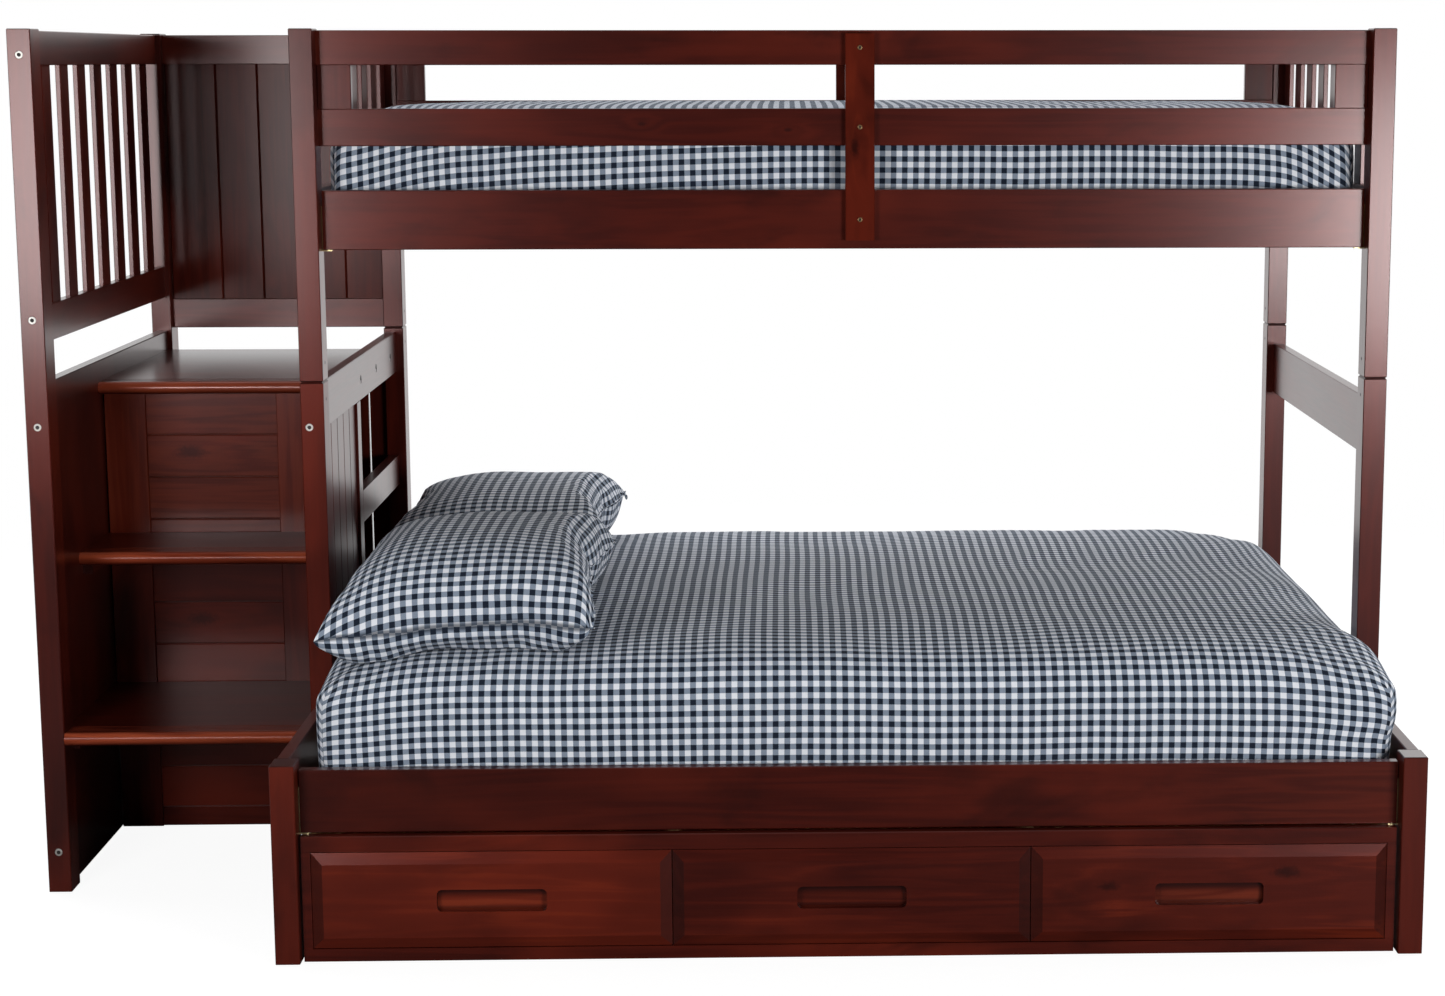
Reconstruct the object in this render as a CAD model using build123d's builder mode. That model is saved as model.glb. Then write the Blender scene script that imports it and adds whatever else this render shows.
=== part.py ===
"""Twin-over-full bunk bed in stained pine, with a side staircase and a three-drawer under-bed chest.

X runs along the bed from the staircase to the far end, Y from the front to the back, Z up.
The origin is on the floor, in the middle of the outer box.
"""
import os

from build123d import *

# Outer sizes
bunk_length = 2020.0
stair_width = 510.0
twin_depth = 1062.0
full_extra = 408.0
post_top = 1622.0

# Posts
post_width = 43.0
post_depth = 54.0
stair_post_width = 43.0
stair_post_depth = 60.0
stair_setback = 15.0
split_above_landing = 47.0
short_post_top = 358.0
edge_break = 1.5
split_break = 3.0

# Rails
rail_thick = 22.0
rail_drop = 3.0
guard_top_height = 63.0
guard_mid_height = 68.0
guard_gap = 79.0
side_rail_height = 109.0
side_rail_gap = 81.0
lower_rail_bottom = 229.0
lower_rail_height = 113.0
end_rail_inset = 4.0
cross_right_height = 110.0
cross_right_drop = 44.0
cross_left_height = 90.0
cross_left_drop = 10.0
mid_left_height = 65.0
mid_left_drop = 187.0

# Guard boards and slats
guard_board_width = 62.0
guard_board_thick = 16.0
brace_width = 54.0
brace_thick = 14.0
brace_offset = 26.0
brace_low_gap = 16.0
brace_top_gap = 6.0
slat_width = 56.0
slat_thick = 10.0
slat_pitch = 124.0
slat_tenon = 10.0
slat_end_gap = 10.0
entry_upright_depth = 44.0

# Bed bases
cleat_size = 22.0
cleat_lift = 9.0
base_slat_width = 70.0
base_slat_thick = 18.0
base_slat_pitch = 160.0
base_slat_play = 2.0
beam_width = 40.0
beam_height = 50.0
beam_leg_inset = 520.0

# Tongued boards
board_thick = 12.0
board_vee = 2.5
tongue_length = 5.0
tongue_thick = 4.0
board_gap = 0.3
groove_depth = 10.0
back_board_width = 91.0
back_board_first = 82.0
end_board_width = 69.0
end_panel_depth = 458.0
end_stile_width = 42.0
riser_board_width = 86.0

# Staircase
rise = 310.0
going = 195.0
nosing_setback = 10.0
tread_thick = 25.0
tread_groove_count = 4
tread_groove_width = 3.0
tread_groove_depth = 2.0
tread_groove_pitch = 10.0
tread_groove_start = 24.0
riser_setback = 30.0
riser_thick = 20.0
riser_left_stile = 83.0
riser_right_stile = 130.0
riser_side_gap = 3.0
panel_thick = 24.0
panel_bottom = 5.0
panel_drop = 5.0
guard_low_gap = 74.0
back_rail_height = 64.0
lower_back_stile = 38.0
lower_back_slit = 3.0
tread_cleat = 20.0

# Fasteners
bolt_radius = 3.0
bolt_head_radius = 7.0
bolt_head_height = 3.5
bolt_reach = 27.0
counterbore_depth = 4.0
bolt_play = 0.3
guard_top_bolt = 19.0
guard_low_bolt = 46.0
panel_high_bolt = 79.0
panel_low_bolt = 73.0
end_bolt = 16.0
landing_bolt_front = 125.0
landing_bolt_rear = 79.0
landing_bolt_count = 3
pin_radius = 6.0
pin_length = 80.0
plate_thick = 2.5
plate_width = 18.0
plate_leg_width = 8.0
plate_foot = 17.0
plate_height = 80.0

# Under-bed chest
chest_side_gap = 5.0
chest_setback = 8.0
chest_depth = 560.0
chest_height = 227.0
frame_thick = 20.0
frame_recess = 7.0
frame_top_height = 28.0
frame_low_height = 23.0
frame_stile = 16.0
carcass_thick = 16.0
carcass_drop = 5.0
chest_back_thick = 9.0
runner_width = 18.0
runner_height = 17.0

# Drawers
drawer_count = 3
front_thick = 20.0
front_gap = 1.5
bevel_width = 20.0
bevel_depth = 8.0
pull_width = 192.0
pull_height = 40.0
pull_depth = 12.0
pull_radius = 9.0
box_side_thick = 12.0
box_side_height = 128.0
box_rear_gap = 50.0
box_side_gap = 4.0
box_bottom_thick = 6.0
box_bottom_lift = 8.0
box_groove_depth = 5.0
slide_gap = 0.3

# Bedding
upper_mattress_end_gap = 4.0
upper_mattress_thick = 212.0
lower_mattress_left_gap = 22.0
lower_mattress_right_gap = 4.0
lower_mattress_thick = 265.0
mattress_side_gap = 7.0
mattress_corner = 70.0
pillow_width = 500.0
pillow_length = 640.0
pillow_thick = 162.0
pillow_lean = 0.045
pillow_draw = 26.0
pillow_side_steps = 6
pillow_gap = 16.0
pillow_offset = 315.0
soft_gap = 0.3

# Fits
fit_gap = 0.2
housing_play = 1.0

# Places worked out from the sizes above
x_stair = -(bunk_length + stair_width) / 2
x_left = x_stair + stair_width
x_right = x_left + bunk_length
x_middle = (x_left + x_right) / 2
y_front = -(twin_depth + full_extra) / 2
y_twin = y_front + full_extra
y_rear = y_twin + twin_depth
inner_left = x_left + post_width
inner_right = x_right - post_width
inner_front = y_twin + post_depth
inner_rear = y_rear - post_depth
rail_top = post_top - rail_drop
guard_top_bottom = rail_top - guard_top_height
guard_mid_top = guard_top_bottom - guard_gap
guard_mid_bottom = guard_mid_top - guard_mid_height
upper_rail_top = guard_mid_bottom - side_rail_gap
upper_rail_bottom = upper_rail_top - side_rail_height
lower_rail_top = lower_rail_bottom + lower_rail_height
front_rail = (inner_front - rail_thick, inner_front)
rear_rail = (inner_rear, inner_rear + rail_thick)
left_rail = (x_left + end_rail_inset, x_left + end_rail_inset + rail_thick)
right_rail = (x_right - end_rail_inset - rail_thick, x_right - end_rail_inset)
left_rail_middle = sum(left_rail) / 2
bolt_bore = bolt_reach + housing_play
right_rail_middle = sum(right_rail) / 2
twin_middle = (inner_front + inner_rear) / 2
brace_middle = x_middle + brace_offset
end_panel_end = inner_front + end_panel_depth
end_boards_end = end_panel_end - end_stile_width

stair_front = y_twin + stair_setback
stair_inner_front = stair_front + stair_post_depth
stair_inner_rear = y_rear - stair_post_depth
stair_inner_left = x_stair + stair_post_width
stair_rail_middle = x_stair + stair_post_width / 2
stair_rail = (stair_rail_middle - rail_thick / 2, stair_rail_middle + rail_thick / 2)
side_panel = (stair_rail_middle - panel_thick / 2, stair_rail_middle + panel_thick / 2)
panel_recess = stair_inner_left - side_panel[1]
back_rail_middle = y_rear - stair_post_depth / 2
landing_front = y_twin + nosing_setback + 2 * going
riser_front = landing_front + riser_setback
landing_top = 3 * rise
landing_bottom = landing_top - tread_thick
split_height = landing_top + split_above_landing
cross_left_top = split_height - cross_left_drop
cross_left_bottom = cross_left_top - cross_left_height
cross_right_top = split_height - cross_right_drop
mid_left_top = cross_left_bottom - mid_left_drop
panel_top = split_height - panel_drop
guard_low_bottom = panel_top + guard_low_gap
guard_low_top = guard_low_bottom + guard_mid_height
back_rail_top = split_height + back_rail_height
end_bolt_height = cross_left_bottom + end_bolt
guard_bolt_heights = [guard_top_bottom + guard_top_bolt, guard_low_bottom + guard_low_bolt]
panel_bolt_heights = [panel_top - panel_high_bolt, panel_bottom + panel_low_bolt]

# Facings: the direction in which a drilled face looks
FRONT = (90, 0, 0)
RIGHT = (0, 90, 0)

os.makedirs("parts", exist_ok=True)


def keep(piece, name):
    """Label a finished piece and write it under its name."""
    piece.part.label = name
    export_step(piece.part, f"parts/{name}.step")


def plank(x, y, z):
    """A rectangular board in the piece being built, from its spans along X, Y and Z."""
    middle = tuple(sum(span) / 2 for span in (x, y, z))
    with Locations(middle):
        Box(x[1] - x[0], y[1] - y[0], z[1] - z[0])


def drill(x, y, z, facing, radius, depth):
    """A blind hole into the piece being built, from a point on the face that looks that way."""
    with Locations(Location((x, y, z), facing)):
        Hole(radius, depth)


def slat_centres(span):
    """Where a row of slats stands along Y: as many as the span takes, evenly about its middle."""
    count = int((span[1] - span[0] - slat_width - 2 * slat_end_gap) // slat_pitch) + 1
    return [sum(span) / 2 + (index - (count - 1) / 2) * slat_pitch for index in range(count)]


def mortise_row(x, centres, z, depth):
    """Blind mortises for slat tenons, cut from the edge at height z."""
    with Locations([(x, centre, z + depth / 2) for centre in centres]):
        Box(slat_thick + 2 * fit_gap, slat_width + 2 * fit_gap, abs(depth), mode=Mode.SUBTRACT)


def board_outline(start, end, grooved, tongued):
    """A tongued board's section: the shown face lies on the section plane's x axis."""
    middle = board_thick / 2
    tongue = tongue_thick / 2
    groove = tongue + fit_gap
    groove_end = start + tongue_length + 2 * fit_gap
    points = [(start + board_vee, 0), (end - board_vee, 0), (end, board_vee)]
    if tongued:
        points += [(end, middle - tongue), (end + tongue_length, middle - tongue)]
        points += [(end + tongue_length, middle + tongue), (end, middle + tongue)]
    points += [(end, board_thick), (start, board_thick)]
    if grooved:
        points += [(start, middle + groove), (groove_end, middle + groove)]
        points += [(groove_end, middle - groove), (start, middle - groove)]
    return points + [(start, board_vee)]


def tongued_boards(name, section, joints, length):
    """Tongued boards side by side along a section plane, run out along its normal."""
    last = len(joints) - 2
    with BuildPart() as boards:
        for index in range(last + 1):
            outline = board_outline(joints[index] + board_gap, joints[index + 1], index > 0, index < last)
            with BuildSketch(section):
                with BuildLine():
                    Polyline(outline, close=True)
                make_face()
            extrude(amount=length)
    keep(boards, name)


def joint_lines(start, end, width, first):
    """Board joints from start to end: one cut board, then whole ones, then what is left."""
    lines = [start, start + first]
    while lines[-1] + width < end - width / 3:
        lines.append(lines[-1] + width)
    return lines + [end]


# Bunk posts: the upper ones stand on the lower ones, on a steel pin
for end_name, x in (("left", x_left), ("right", inner_right)):
    for row_name, y in (("front", y_twin), ("rear", inner_rear)):
        centre = (x + post_width / 2, y + post_depth / 2)
        with BuildPart() as lower_post:
            plank((x, x + post_width), (y, y + post_depth), (0, split_height))
            chamfer(lower_post.faces().sort_by(Axis.Z)[-1].edges(), split_break)
            chamfer(lower_post.edges().filter_by(Axis.Z), edge_break)
            with Locations((*centre, split_height)):
                Hole(pin_radius + fit_gap, pin_length / 2)
            if (row_name, end_name) == ("front", "left"):
                with Locations(Location((left_rail_middle, y_twin, end_bolt_height), FRONT)):
                    CounterBoreHole(bolt_radius + bolt_play, bolt_head_radius + bolt_play, counterbore_depth)
        keep(lower_post, f"lower_post_{row_name}_{end_name}")

        with BuildPart() as upper_post:
            plank((x, x + post_width), (y, y + post_depth), (split_height, post_top))
            chamfer(upper_post.faces().sort_by(Axis.Z)[0].edges(), split_break)
            chamfer(upper_post.edges().filter_by(Axis.Z), edge_break)
            chamfer(upper_post.faces().sort_by(Axis.Z)[-1].edges(), edge_break)
            with Locations(Location((*centre, split_height), (180, 0, 0))):
                Hole(pin_radius + fit_gap, pin_length / 2 + housing_play)
        keep(upper_post, f"upper_post_{row_name}_{end_name}")

pin_spots = [
    (x + post_width / 2, y + post_depth / 2, split_height)
    for x in (x_left, inner_right)
    for y in (y_twin, inner_rear)
]
with BuildPart() as post_pins:
    with Locations(pin_spots):
        Cylinder(pin_radius, pin_length)
keep(post_pins, "post_pins")

# Short front posts of the full-size bed
with BuildPart() as short_posts:
    for x in (x_left, inner_right):
        plank((x, x + post_width), (y_front, y_front + post_depth), (0, short_post_top))
    chamfer(short_posts.edges().filter_by(Axis.Z), edge_break)
    chamfer(short_posts.faces().group_by(Axis.Z)[-1].edges(), edge_break)
keep(short_posts, "short_posts")

# Long rails: side rails hang on steel hook plates, guard rails stand between the posts
side_rail_span = (inner_left + plate_thick, inner_right - plate_thick)
lower_front_rail = (y_front + post_depth - rail_thick, y_front + post_depth)
rail_sets = (
    ("upper_side_rails", side_rail_span, front_rail, (upper_rail_bottom, upper_rail_top)),
    ("lower_side_rails", side_rail_span, lower_front_rail, (lower_rail_bottom, lower_rail_top)),
    ("guard_mid_rails", (inner_left, inner_right), front_rail, (guard_mid_bottom, guard_mid_top)),
    ("guard_top_rails", (inner_left, inner_right), front_rail, (guard_top_bottom, rail_top)),
)
for name, span, front_span, heights in rail_sets:
    with BuildPart() as rails:
        for depth_span in (front_span, rear_rail):
            plank(span, depth_span, heights)
        chamfer(rails.edges().filter_by(Axis.X), edge_break)
    keep(rails, name)

# Short boards that tie the two guard rails together at their ends
board_inset = (rail_thick - guard_board_thick) / 2
with BuildPart() as guard_boards:
    for x in (inner_left, inner_right - guard_board_width):
        for depth_span in (front_rail, rear_rail):
            plank((x, x + guard_board_width), (depth_span[0] + board_inset, depth_span[1] - board_inset),
                  (guard_mid_top, guard_top_bottom))
    chamfer(guard_boards.edges().filter_by(Axis.Z), edge_break)
keep(guard_boards, "guard_end_boards")

# Centre braces across the three long rails, on the outer faces
brace_span = (brace_middle - brace_width / 2, brace_middle + brace_width / 2)
brace_heights = (upper_rail_bottom + brace_low_gap, rail_top - brace_top_gap)
with BuildPart() as braces:
    plank(brace_span, (front_rail[0] - brace_thick, front_rail[0]), brace_heights)
    plank(brace_span, (rear_rail[1], rear_rail[1] + brace_thick), brace_heights)
    chamfer(braces.edges().filter_by(Axis.Z), edge_break)
keep(braces, "centre_braces")

# Hook plates: a leg between rail end and post, and a foot under the rail
with BuildPart() as plates:
    for depth_span, rail_bottom in (
        (front_rail, upper_rail_bottom),
        (rear_rail, upper_rail_bottom),
        (lower_front_rail, lower_rail_bottom),
        (rear_rail, lower_rail_bottom),
    ):
        middle = sum(depth_span) / 2
        leg_width = (middle - plate_leg_width / 2, middle + plate_leg_width / 2)
        foot_width = (middle - plate_width / 2, middle + plate_width / 2)
        leg = (rail_bottom, rail_bottom + plate_height)
        foot = (rail_bottom - plate_thick, rail_bottom)
        plank((inner_left, side_rail_span[0]), leg_width, leg)
        plank((inner_left, inner_left + plate_foot), foot_width, foot)
        plank((side_rail_span[1], inner_right), leg_width, leg)
        plank((inner_right - plate_foot, inner_right), foot_width, foot)
keep(plates, "rail_hook_plates")

# Upper end frames: a full slatted end on the right, a half one beside the stair entry
end_span = (inner_front, inner_rear)
right_slats = slat_centres(end_span)
left_slats = right_slats[len(right_slats) // 2:]
entry_upright = (left_slats[0] - slat_pitch / 2 - entry_upright_depth, left_slats[0] - slat_pitch / 2)
with BuildPart() as upper_end_rails:
    for width in (left_rail, right_rail):
        plank(width, end_span, (upper_rail_bottom, upper_rail_top))
    chamfer(upper_end_rails.edges().filter_by(Axis.Y), edge_break)
    mortise_row(right_rail_middle, right_slats, upper_rail_top, -slat_tenon - housing_play)
    mortise_row(left_rail_middle, left_slats, upper_rail_top, -slat_tenon - housing_play)
keep(upper_end_rails, "upper_end_rails")

with BuildPart() as end_guard_rails:
    plank(right_rail, end_span, (guard_top_bottom, rail_top))
    plank(left_rail, (entry_upright[1], inner_rear), (guard_top_bottom, rail_top))
    chamfer(end_guard_rails.edges().filter_by(Axis.Y), edge_break)
    mortise_row(right_rail_middle, right_slats, guard_top_bottom, slat_tenon + housing_play)
    mortise_row(left_rail_middle, left_slats, guard_top_bottom, slat_tenon + housing_play)
keep(end_guard_rails, "end_guard_rails")

with BuildPart() as upright:
    plank(left_rail, entry_upright, (upper_rail_top, rail_top))
    chamfer(upright.edges().filter_by(Axis.Z), edge_break)
keep(upright, "entry_upright")

slat_heights = (upper_rail_top - slat_tenon, guard_top_bottom + slat_tenon)
with BuildPart() as end_slats:
    for x, centres in ((right_rail_middle, right_slats), (left_rail_middle, left_slats)):
        for centre in centres:
            plank((x - slat_thick / 2, x + slat_thick / 2),
                  (centre - slat_width / 2, centre + slat_width / 2), slat_heights)
    chamfer(end_slats.edges().filter_by(Axis.Z), edge_break)
keep(end_slats, "end_guard_slats")

# Lower end frames
with BuildPart() as lower_end_rails:
    for width in (left_rail, right_rail):
        plank(width, end_span, (lower_rail_bottom, lower_rail_top))
    chamfer(lower_end_rails.edges().filter_by(Axis.Y), edge_break)
    with Locations((left_rail_middle, (inner_front + end_boards_end) / 2, lower_rail_top)):
        Box(board_thick + 2 * fit_gap, end_boards_end - inner_front, 2 * groove_depth, mode=Mode.SUBTRACT)
keep(lower_end_rails, "lower_end_rails")

with BuildPart() as extension_rails:
    for width in (left_rail, right_rail):
        plank(width, (y_front + post_depth, y_twin), (short_post_top - side_rail_height, short_post_top))
    chamfer(extension_rails.edges().filter_by(Axis.Y), edge_break)
keep(extension_rails, "extension_rails")

landing_bolt_first = landing_front + landing_bolt_front
landing_bolt_pitch = (stair_inner_rear - landing_bolt_rear - landing_bolt_first) / (landing_bolt_count - 1)
landing_bolts = [landing_bolt_first + index * landing_bolt_pitch for index in range(landing_bolt_count)]
landing_bolt_height = (landing_top + landing_bottom) / 2
with BuildPart() as cross_rails:
    plank(right_rail, end_span, (cross_right_top - cross_right_height, cross_right_top))
    plank(left_rail, end_span, (cross_left_bottom, cross_left_top))
    chamfer(cross_rails.edges().filter_by(Axis.Y), edge_break)
    with Locations((left_rail_middle, (inner_front + end_boards_end) / 2, cross_left_bottom)):
        Box(board_thick + 2 * fit_gap, end_boards_end - inner_front, 2 * groove_depth, mode=Mode.SUBTRACT)
    drill(left_rail_middle, inner_front, end_bolt_height, FRONT, bolt_radius + bolt_play, bolt_bore)
    with Locations([Location((left_rail[1], y, landing_bolt_height), RIGHT) for y in landing_bolts]):
        CounterBoreHole(bolt_radius + bolt_play, bolt_head_radius + bolt_play, counterbore_depth, rail_thick)
keep(cross_rails, "cross_rails")

with BuildPart() as end_panel_frame:
    plank(left_rail, (end_boards_end, end_panel_end), (lower_rail_top, cross_left_bottom))
    plank(left_rail, (end_panel_end + fit_gap, inner_rear),
          (mid_left_top - mid_left_height, mid_left_top))
    chamfer(end_panel_frame.edges().group_by(Edge.length)[-1], edge_break)
keep(end_panel_frame, "end_panel_frame")

end_board_bottom = lower_rail_top - groove_depth + housing_play
end_board_top = cross_left_bottom + groove_depth - housing_play
tongued_boards(
    "end_panel_boards",
    Plane((left_rail_middle + board_thick / 2, inner_front, end_board_bottom), (0, 1, 0), (0, 0, 1)),
    joint_lines(0, end_boards_end - inner_front - board_gap, end_board_width, end_board_width),
    end_board_top - end_board_bottom,
)

# Bed bases: cleats on the side rails, slats across them, and a middle beam under the wide base
upper_cleat = (upper_rail_bottom + cleat_lift, upper_rail_bottom + cleat_lift + cleat_size)
lower_cleat = (lower_rail_bottom + cleat_lift, lower_rail_bottom + cleat_lift + cleat_size)
lower_inner_front = y_front + post_depth
with BuildPart() as cleats:
    plank(side_rail_span, (inner_front, inner_front + cleat_size), upper_cleat)
    plank(side_rail_span, (inner_rear - cleat_size, inner_rear), upper_cleat)
    plank(side_rail_span, (lower_inner_front, lower_inner_front + cleat_size), lower_cleat)
    plank(side_rail_span, (inner_rear - cleat_size, inner_rear), lower_cleat)
keep(cleats, "slat_cleats")

base_count = int((inner_right - inner_left - base_slat_width) // base_slat_pitch)
base_slats = [x_middle + (index - (base_count - 1) / 2) * base_slat_pitch for index in range(base_count)]
for name, near, bottom in (
    ("upper_bed_slats", inner_front, upper_cleat[1]),
    ("lower_bed_slats", lower_inner_front, lower_cleat[1]),
):
    with BuildPart() as bed_slats:
        for x in base_slats:
            plank((x - base_slat_width / 2, x + base_slat_width / 2),
                  (near + base_slat_play, inner_rear - base_slat_play), (bottom, bottom + base_slat_thick))
        chamfer(bed_slats.edges().filter_by(Axis.Y), edge_break)
    keep(bed_slats, name)

beam_middle = (lower_inner_front + inner_rear) / 2
beam_bottom = lower_cleat[1] - beam_height
beam_side = (beam_middle - beam_width / 2, beam_middle + beam_width / 2)
with BuildPart() as beam:
    plank((inner_left + base_slat_play, inner_right - base_slat_play), beam_side,
          (beam_bottom, lower_cleat[1]))
    chamfer(beam.edges().filter_by(Axis.X), edge_break)
    for x in (inner_left + beam_leg_inset, inner_right - beam_leg_inset):
        plank((x - beam_width / 2, x + beam_width / 2), beam_side, (0, beam_bottom - fit_gap))
keep(beam, "lower_centre_beam")

# Staircase posts, bolted to the guard rails and the side panel
with BuildPart() as stair_post_front:
    plank((x_stair, stair_inner_left), (stair_front, stair_inner_front), (0, post_top))
    chamfer(stair_post_front.edges().filter_by(Axis.Z), edge_break)
    chamfer(stair_post_front.faces().sort_by(Axis.Z)[-1].edges(), edge_break)
    with Locations([Location((stair_rail_middle, stair_front, z), FRONT)
                    for z in guard_bolt_heights + panel_bolt_heights]):
        CounterBoreHole(bolt_radius + bolt_play, bolt_head_radius + bolt_play, counterbore_depth)
keep(stair_post_front, "stair_post_front")

with BuildPart() as stair_post_rear:
    plank((x_stair, stair_inner_left), (stair_inner_rear, y_rear), (0, post_top))
    chamfer(stair_post_rear.edges().filter_by(Axis.Z), edge_break)
    chamfer(stair_post_rear.faces().sort_by(Axis.Z)[-1].edges(), edge_break)
keep(stair_post_rear, "stair_post_rear")

stair_span = (stair_inner_front, stair_inner_rear)
stair_slats = slat_centres(stair_span)
with BuildPart() as stair_rails:
    plank(stair_rail, stair_span, (guard_low_bottom, guard_low_top))
    plank(stair_rail, stair_span, (guard_top_bottom, rail_top))
    chamfer(stair_rails.edges().filter_by(Axis.Y), edge_break)
    mortise_row(stair_rail_middle, stair_slats, guard_low_top, -slat_tenon - housing_play)
    mortise_row(stair_rail_middle, stair_slats, guard_top_bottom, slat_tenon + housing_play)
    for height in guard_bolt_heights:
        drill(stair_rail_middle, stair_inner_front, height, FRONT, bolt_radius + bolt_play, bolt_bore)
keep(stair_rails, "stair_guard_rails")

with BuildPart() as stair_guard_slats:
    for centre in stair_slats:
        plank((stair_rail_middle - slat_thick / 2, stair_rail_middle + slat_thick / 2),
              (centre - slat_width / 2, centre + slat_width / 2),
              (guard_low_top - slat_tenon, guard_top_bottom + slat_tenon))
    chamfer(stair_guard_slats.edges().filter_by(Axis.Z), edge_break)
keep(stair_guard_slats, "stair_guard_slats")

with BuildPart() as side_panel_board:
    plank(side_panel, stair_span, (panel_bottom, panel_top))
    chamfer(side_panel_board.faces().sort_by(Axis.Z)[-1].edges().filter_by(Axis.Y), edge_break)
    for height in panel_bolt_heights:
        drill(stair_rail_middle, stair_inner_front, height, FRONT, bolt_radius + bolt_play, bolt_bore)
keep(side_panel_board, "stair_side_panel")

# Staircase back: tongued boards in a grooved frame above the landing, a plain panel below it
back_rail = (back_rail_middle - rail_thick / 2, back_rail_middle + rail_thick / 2)
back_span = (stair_inner_left, x_left)
with BuildPart() as back_rails:
    plank(back_span, back_rail, (split_height, back_rail_top))
    plank(back_span, back_rail, (guard_top_bottom, rail_top))
    chamfer(back_rails.edges().filter_by(Axis.X), edge_break)
    with Locations([(sum(back_span) / 2, back_rail_middle, z) for z in (back_rail_top, guard_top_bottom)]):
        Box(x_left - stair_inner_left, board_thick + 2 * fit_gap, 2 * groove_depth, mode=Mode.SUBTRACT)
keep(back_rails, "stair_back_rails")

back_board_bottom = back_rail_top - groove_depth + housing_play
back_board_top = guard_top_bottom + groove_depth - housing_play
tongued_boards(
    "stair_back_boards",
    Plane((x_left, back_rail_middle - board_thick / 2, back_board_top), (-1, 0, 0), (0, 0, -1)),
    joint_lines(0, x_left - stair_inner_left - board_gap, back_board_width, back_board_first),
    back_board_top - back_board_bottom,
)

lower_back = (back_rail_middle - board_thick / 2, back_rail_middle + board_thick / 2)
with BuildPart() as lower_back_panel:
    plank((stair_inner_left, x_left - lower_back_stile - lower_back_slit), lower_back,
          (panel_bottom, landing_bottom))
    plank((x_left - lower_back_stile, x_left), lower_back, (panel_bottom, landing_bottom))
keep(lower_back_panel, "stair_lower_back")

# Riser panel: two stiles with tongued boards laid flat between them
riser_left = side_panel[1] + riser_side_gap
riser_boards_left = riser_left + riser_left_stile
riser_right = x_left - fit_gap
riser_boards_right = riser_right - riser_right_stile
riser = (riser_front, riser_front + riser_thick)
riser_board_front = riser_front + (riser_thick - board_thick) / 2
with BuildPart() as riser_stiles:
    plank((riser_left, riser_boards_left), riser, (panel_bottom, landing_bottom))
    plank((riser_boards_right, riser_right), riser, (panel_bottom, landing_bottom))
    chamfer(riser_stiles.edges().filter_by(Axis.Z), edge_break)
    with Locations([(x, sum(riser) / 2, (panel_bottom + landing_bottom) / 2)
                    for x in (riser_boards_left, riser_boards_right)]):
        Box(2 * groove_depth, board_thick + 2 * fit_gap, landing_bottom - panel_bottom, mode=Mode.SUBTRACT)
keep(riser_stiles, "riser_stiles")

riser_board_start = riser_boards_left - groove_depth + housing_play
riser_board_end = riser_boards_right + groove_depth - housing_play
tongued_boards(
    "riser_boards",
    Plane((riser_board_start, riser_board_front, landing_bottom), (0, 0, -1), (1, 0, 0)),
    joint_lines(0, landing_bottom - panel_bottom, riser_board_width, riser_board_width),
    riser_board_end - riser_board_start,
)


# Treads: a round nosing and anti-slip grooves along the front, let in round the front post
tread_left = side_panel[1] + fit_gap


def tread_section(step, rear):
    """A tread's section across its left end; step is the number of its rise above the floor."""
    front = y_twin + nosing_setback + (step - 1) * going
    top = step * rise
    nosing = tread_thick / 2
    with BuildSketch(Plane((tread_left, 0, 0), (0, 1, 0), (1, 0, 0))) as section:
        with BuildLine():
            Polyline((front + nosing, top), (rear, top), (rear, top - tread_thick),
                     (front + nosing, top - tread_thick))
            ThreePointArc((front + nosing, top - tread_thick), (front, top - nosing), (front + nosing, top))
        make_face()
        with Locations([(front + tread_groove_start + index * tread_groove_pitch, top)
                        for index in range(tread_groove_count)]):
            Rectangle(tread_groove_width, 2 * tread_groove_depth, mode=Mode.SUBTRACT)
    return section.sketch


with BuildPart() as treads:
    for step in (1, 2):
        extrude(tread_section(step, riser_front), amount=x_left - fit_gap - tread_left)
    with Locations((stair_inner_left - panel_recess, stair_front, rise)):
        Box(2 * (panel_recess + fit_gap), 2 * (stair_post_depth + fit_gap), 3 * tread_thick,
            mode=Mode.SUBTRACT)
keep(treads, "stair_treads")

with BuildPart() as landing:
    extrude(tread_section(3, stair_inner_rear), amount=left_rail[0] - tread_left)
    for y in landing_bolts:
        drill(left_rail[0], y, landing_bolt_height, RIGHT, bolt_radius + bolt_play, bolt_bore)
keep(landing, "stair_landing")

# Cleats that carry the tread ends on the side panel and on the end panel
end_board_outer = left_rail_middle - board_thick / 2
left_cleat = (side_panel[1], side_panel[1] + tread_cleat)
with BuildPart() as tread_cleats:
    for step in (1, 2):
        underside = step * rise - tread_thick
        cleat_front = y_twin + nosing_setback + (step - 1) * going + tread_thick
        heights = (underside - tread_cleat, underside)
        plank(left_cleat, (max(cleat_front, stair_inner_front + fit_gap), riser_front), heights)
        wall = left_rail[0] if underside < lower_rail_top else end_board_outer
        plank((wall - tread_cleat, wall), (max(cleat_front, inner_front + fit_gap), riser_front), heights)
    plank(left_cleat, (riser[1], stair_inner_rear), (landing_bottom - tread_cleat, landing_bottom))
keep(tread_cleats, "tread_cleats")


# Connector bolts, with flat heads let into the wood
def bolt(grip):
    """A bolt with its head's outer face at the origin, run in along -Z."""
    with BuildPart() as piece:
        with Locations((0, 0, -bolt_head_height / 2)):
            Cylinder(bolt_head_radius, bolt_head_height)
        with Locations((0, 0, -(bolt_head_height + grip) / 2)):
            Cylinder(bolt_radius, bolt_head_height + grip)
    return piece.part


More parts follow.
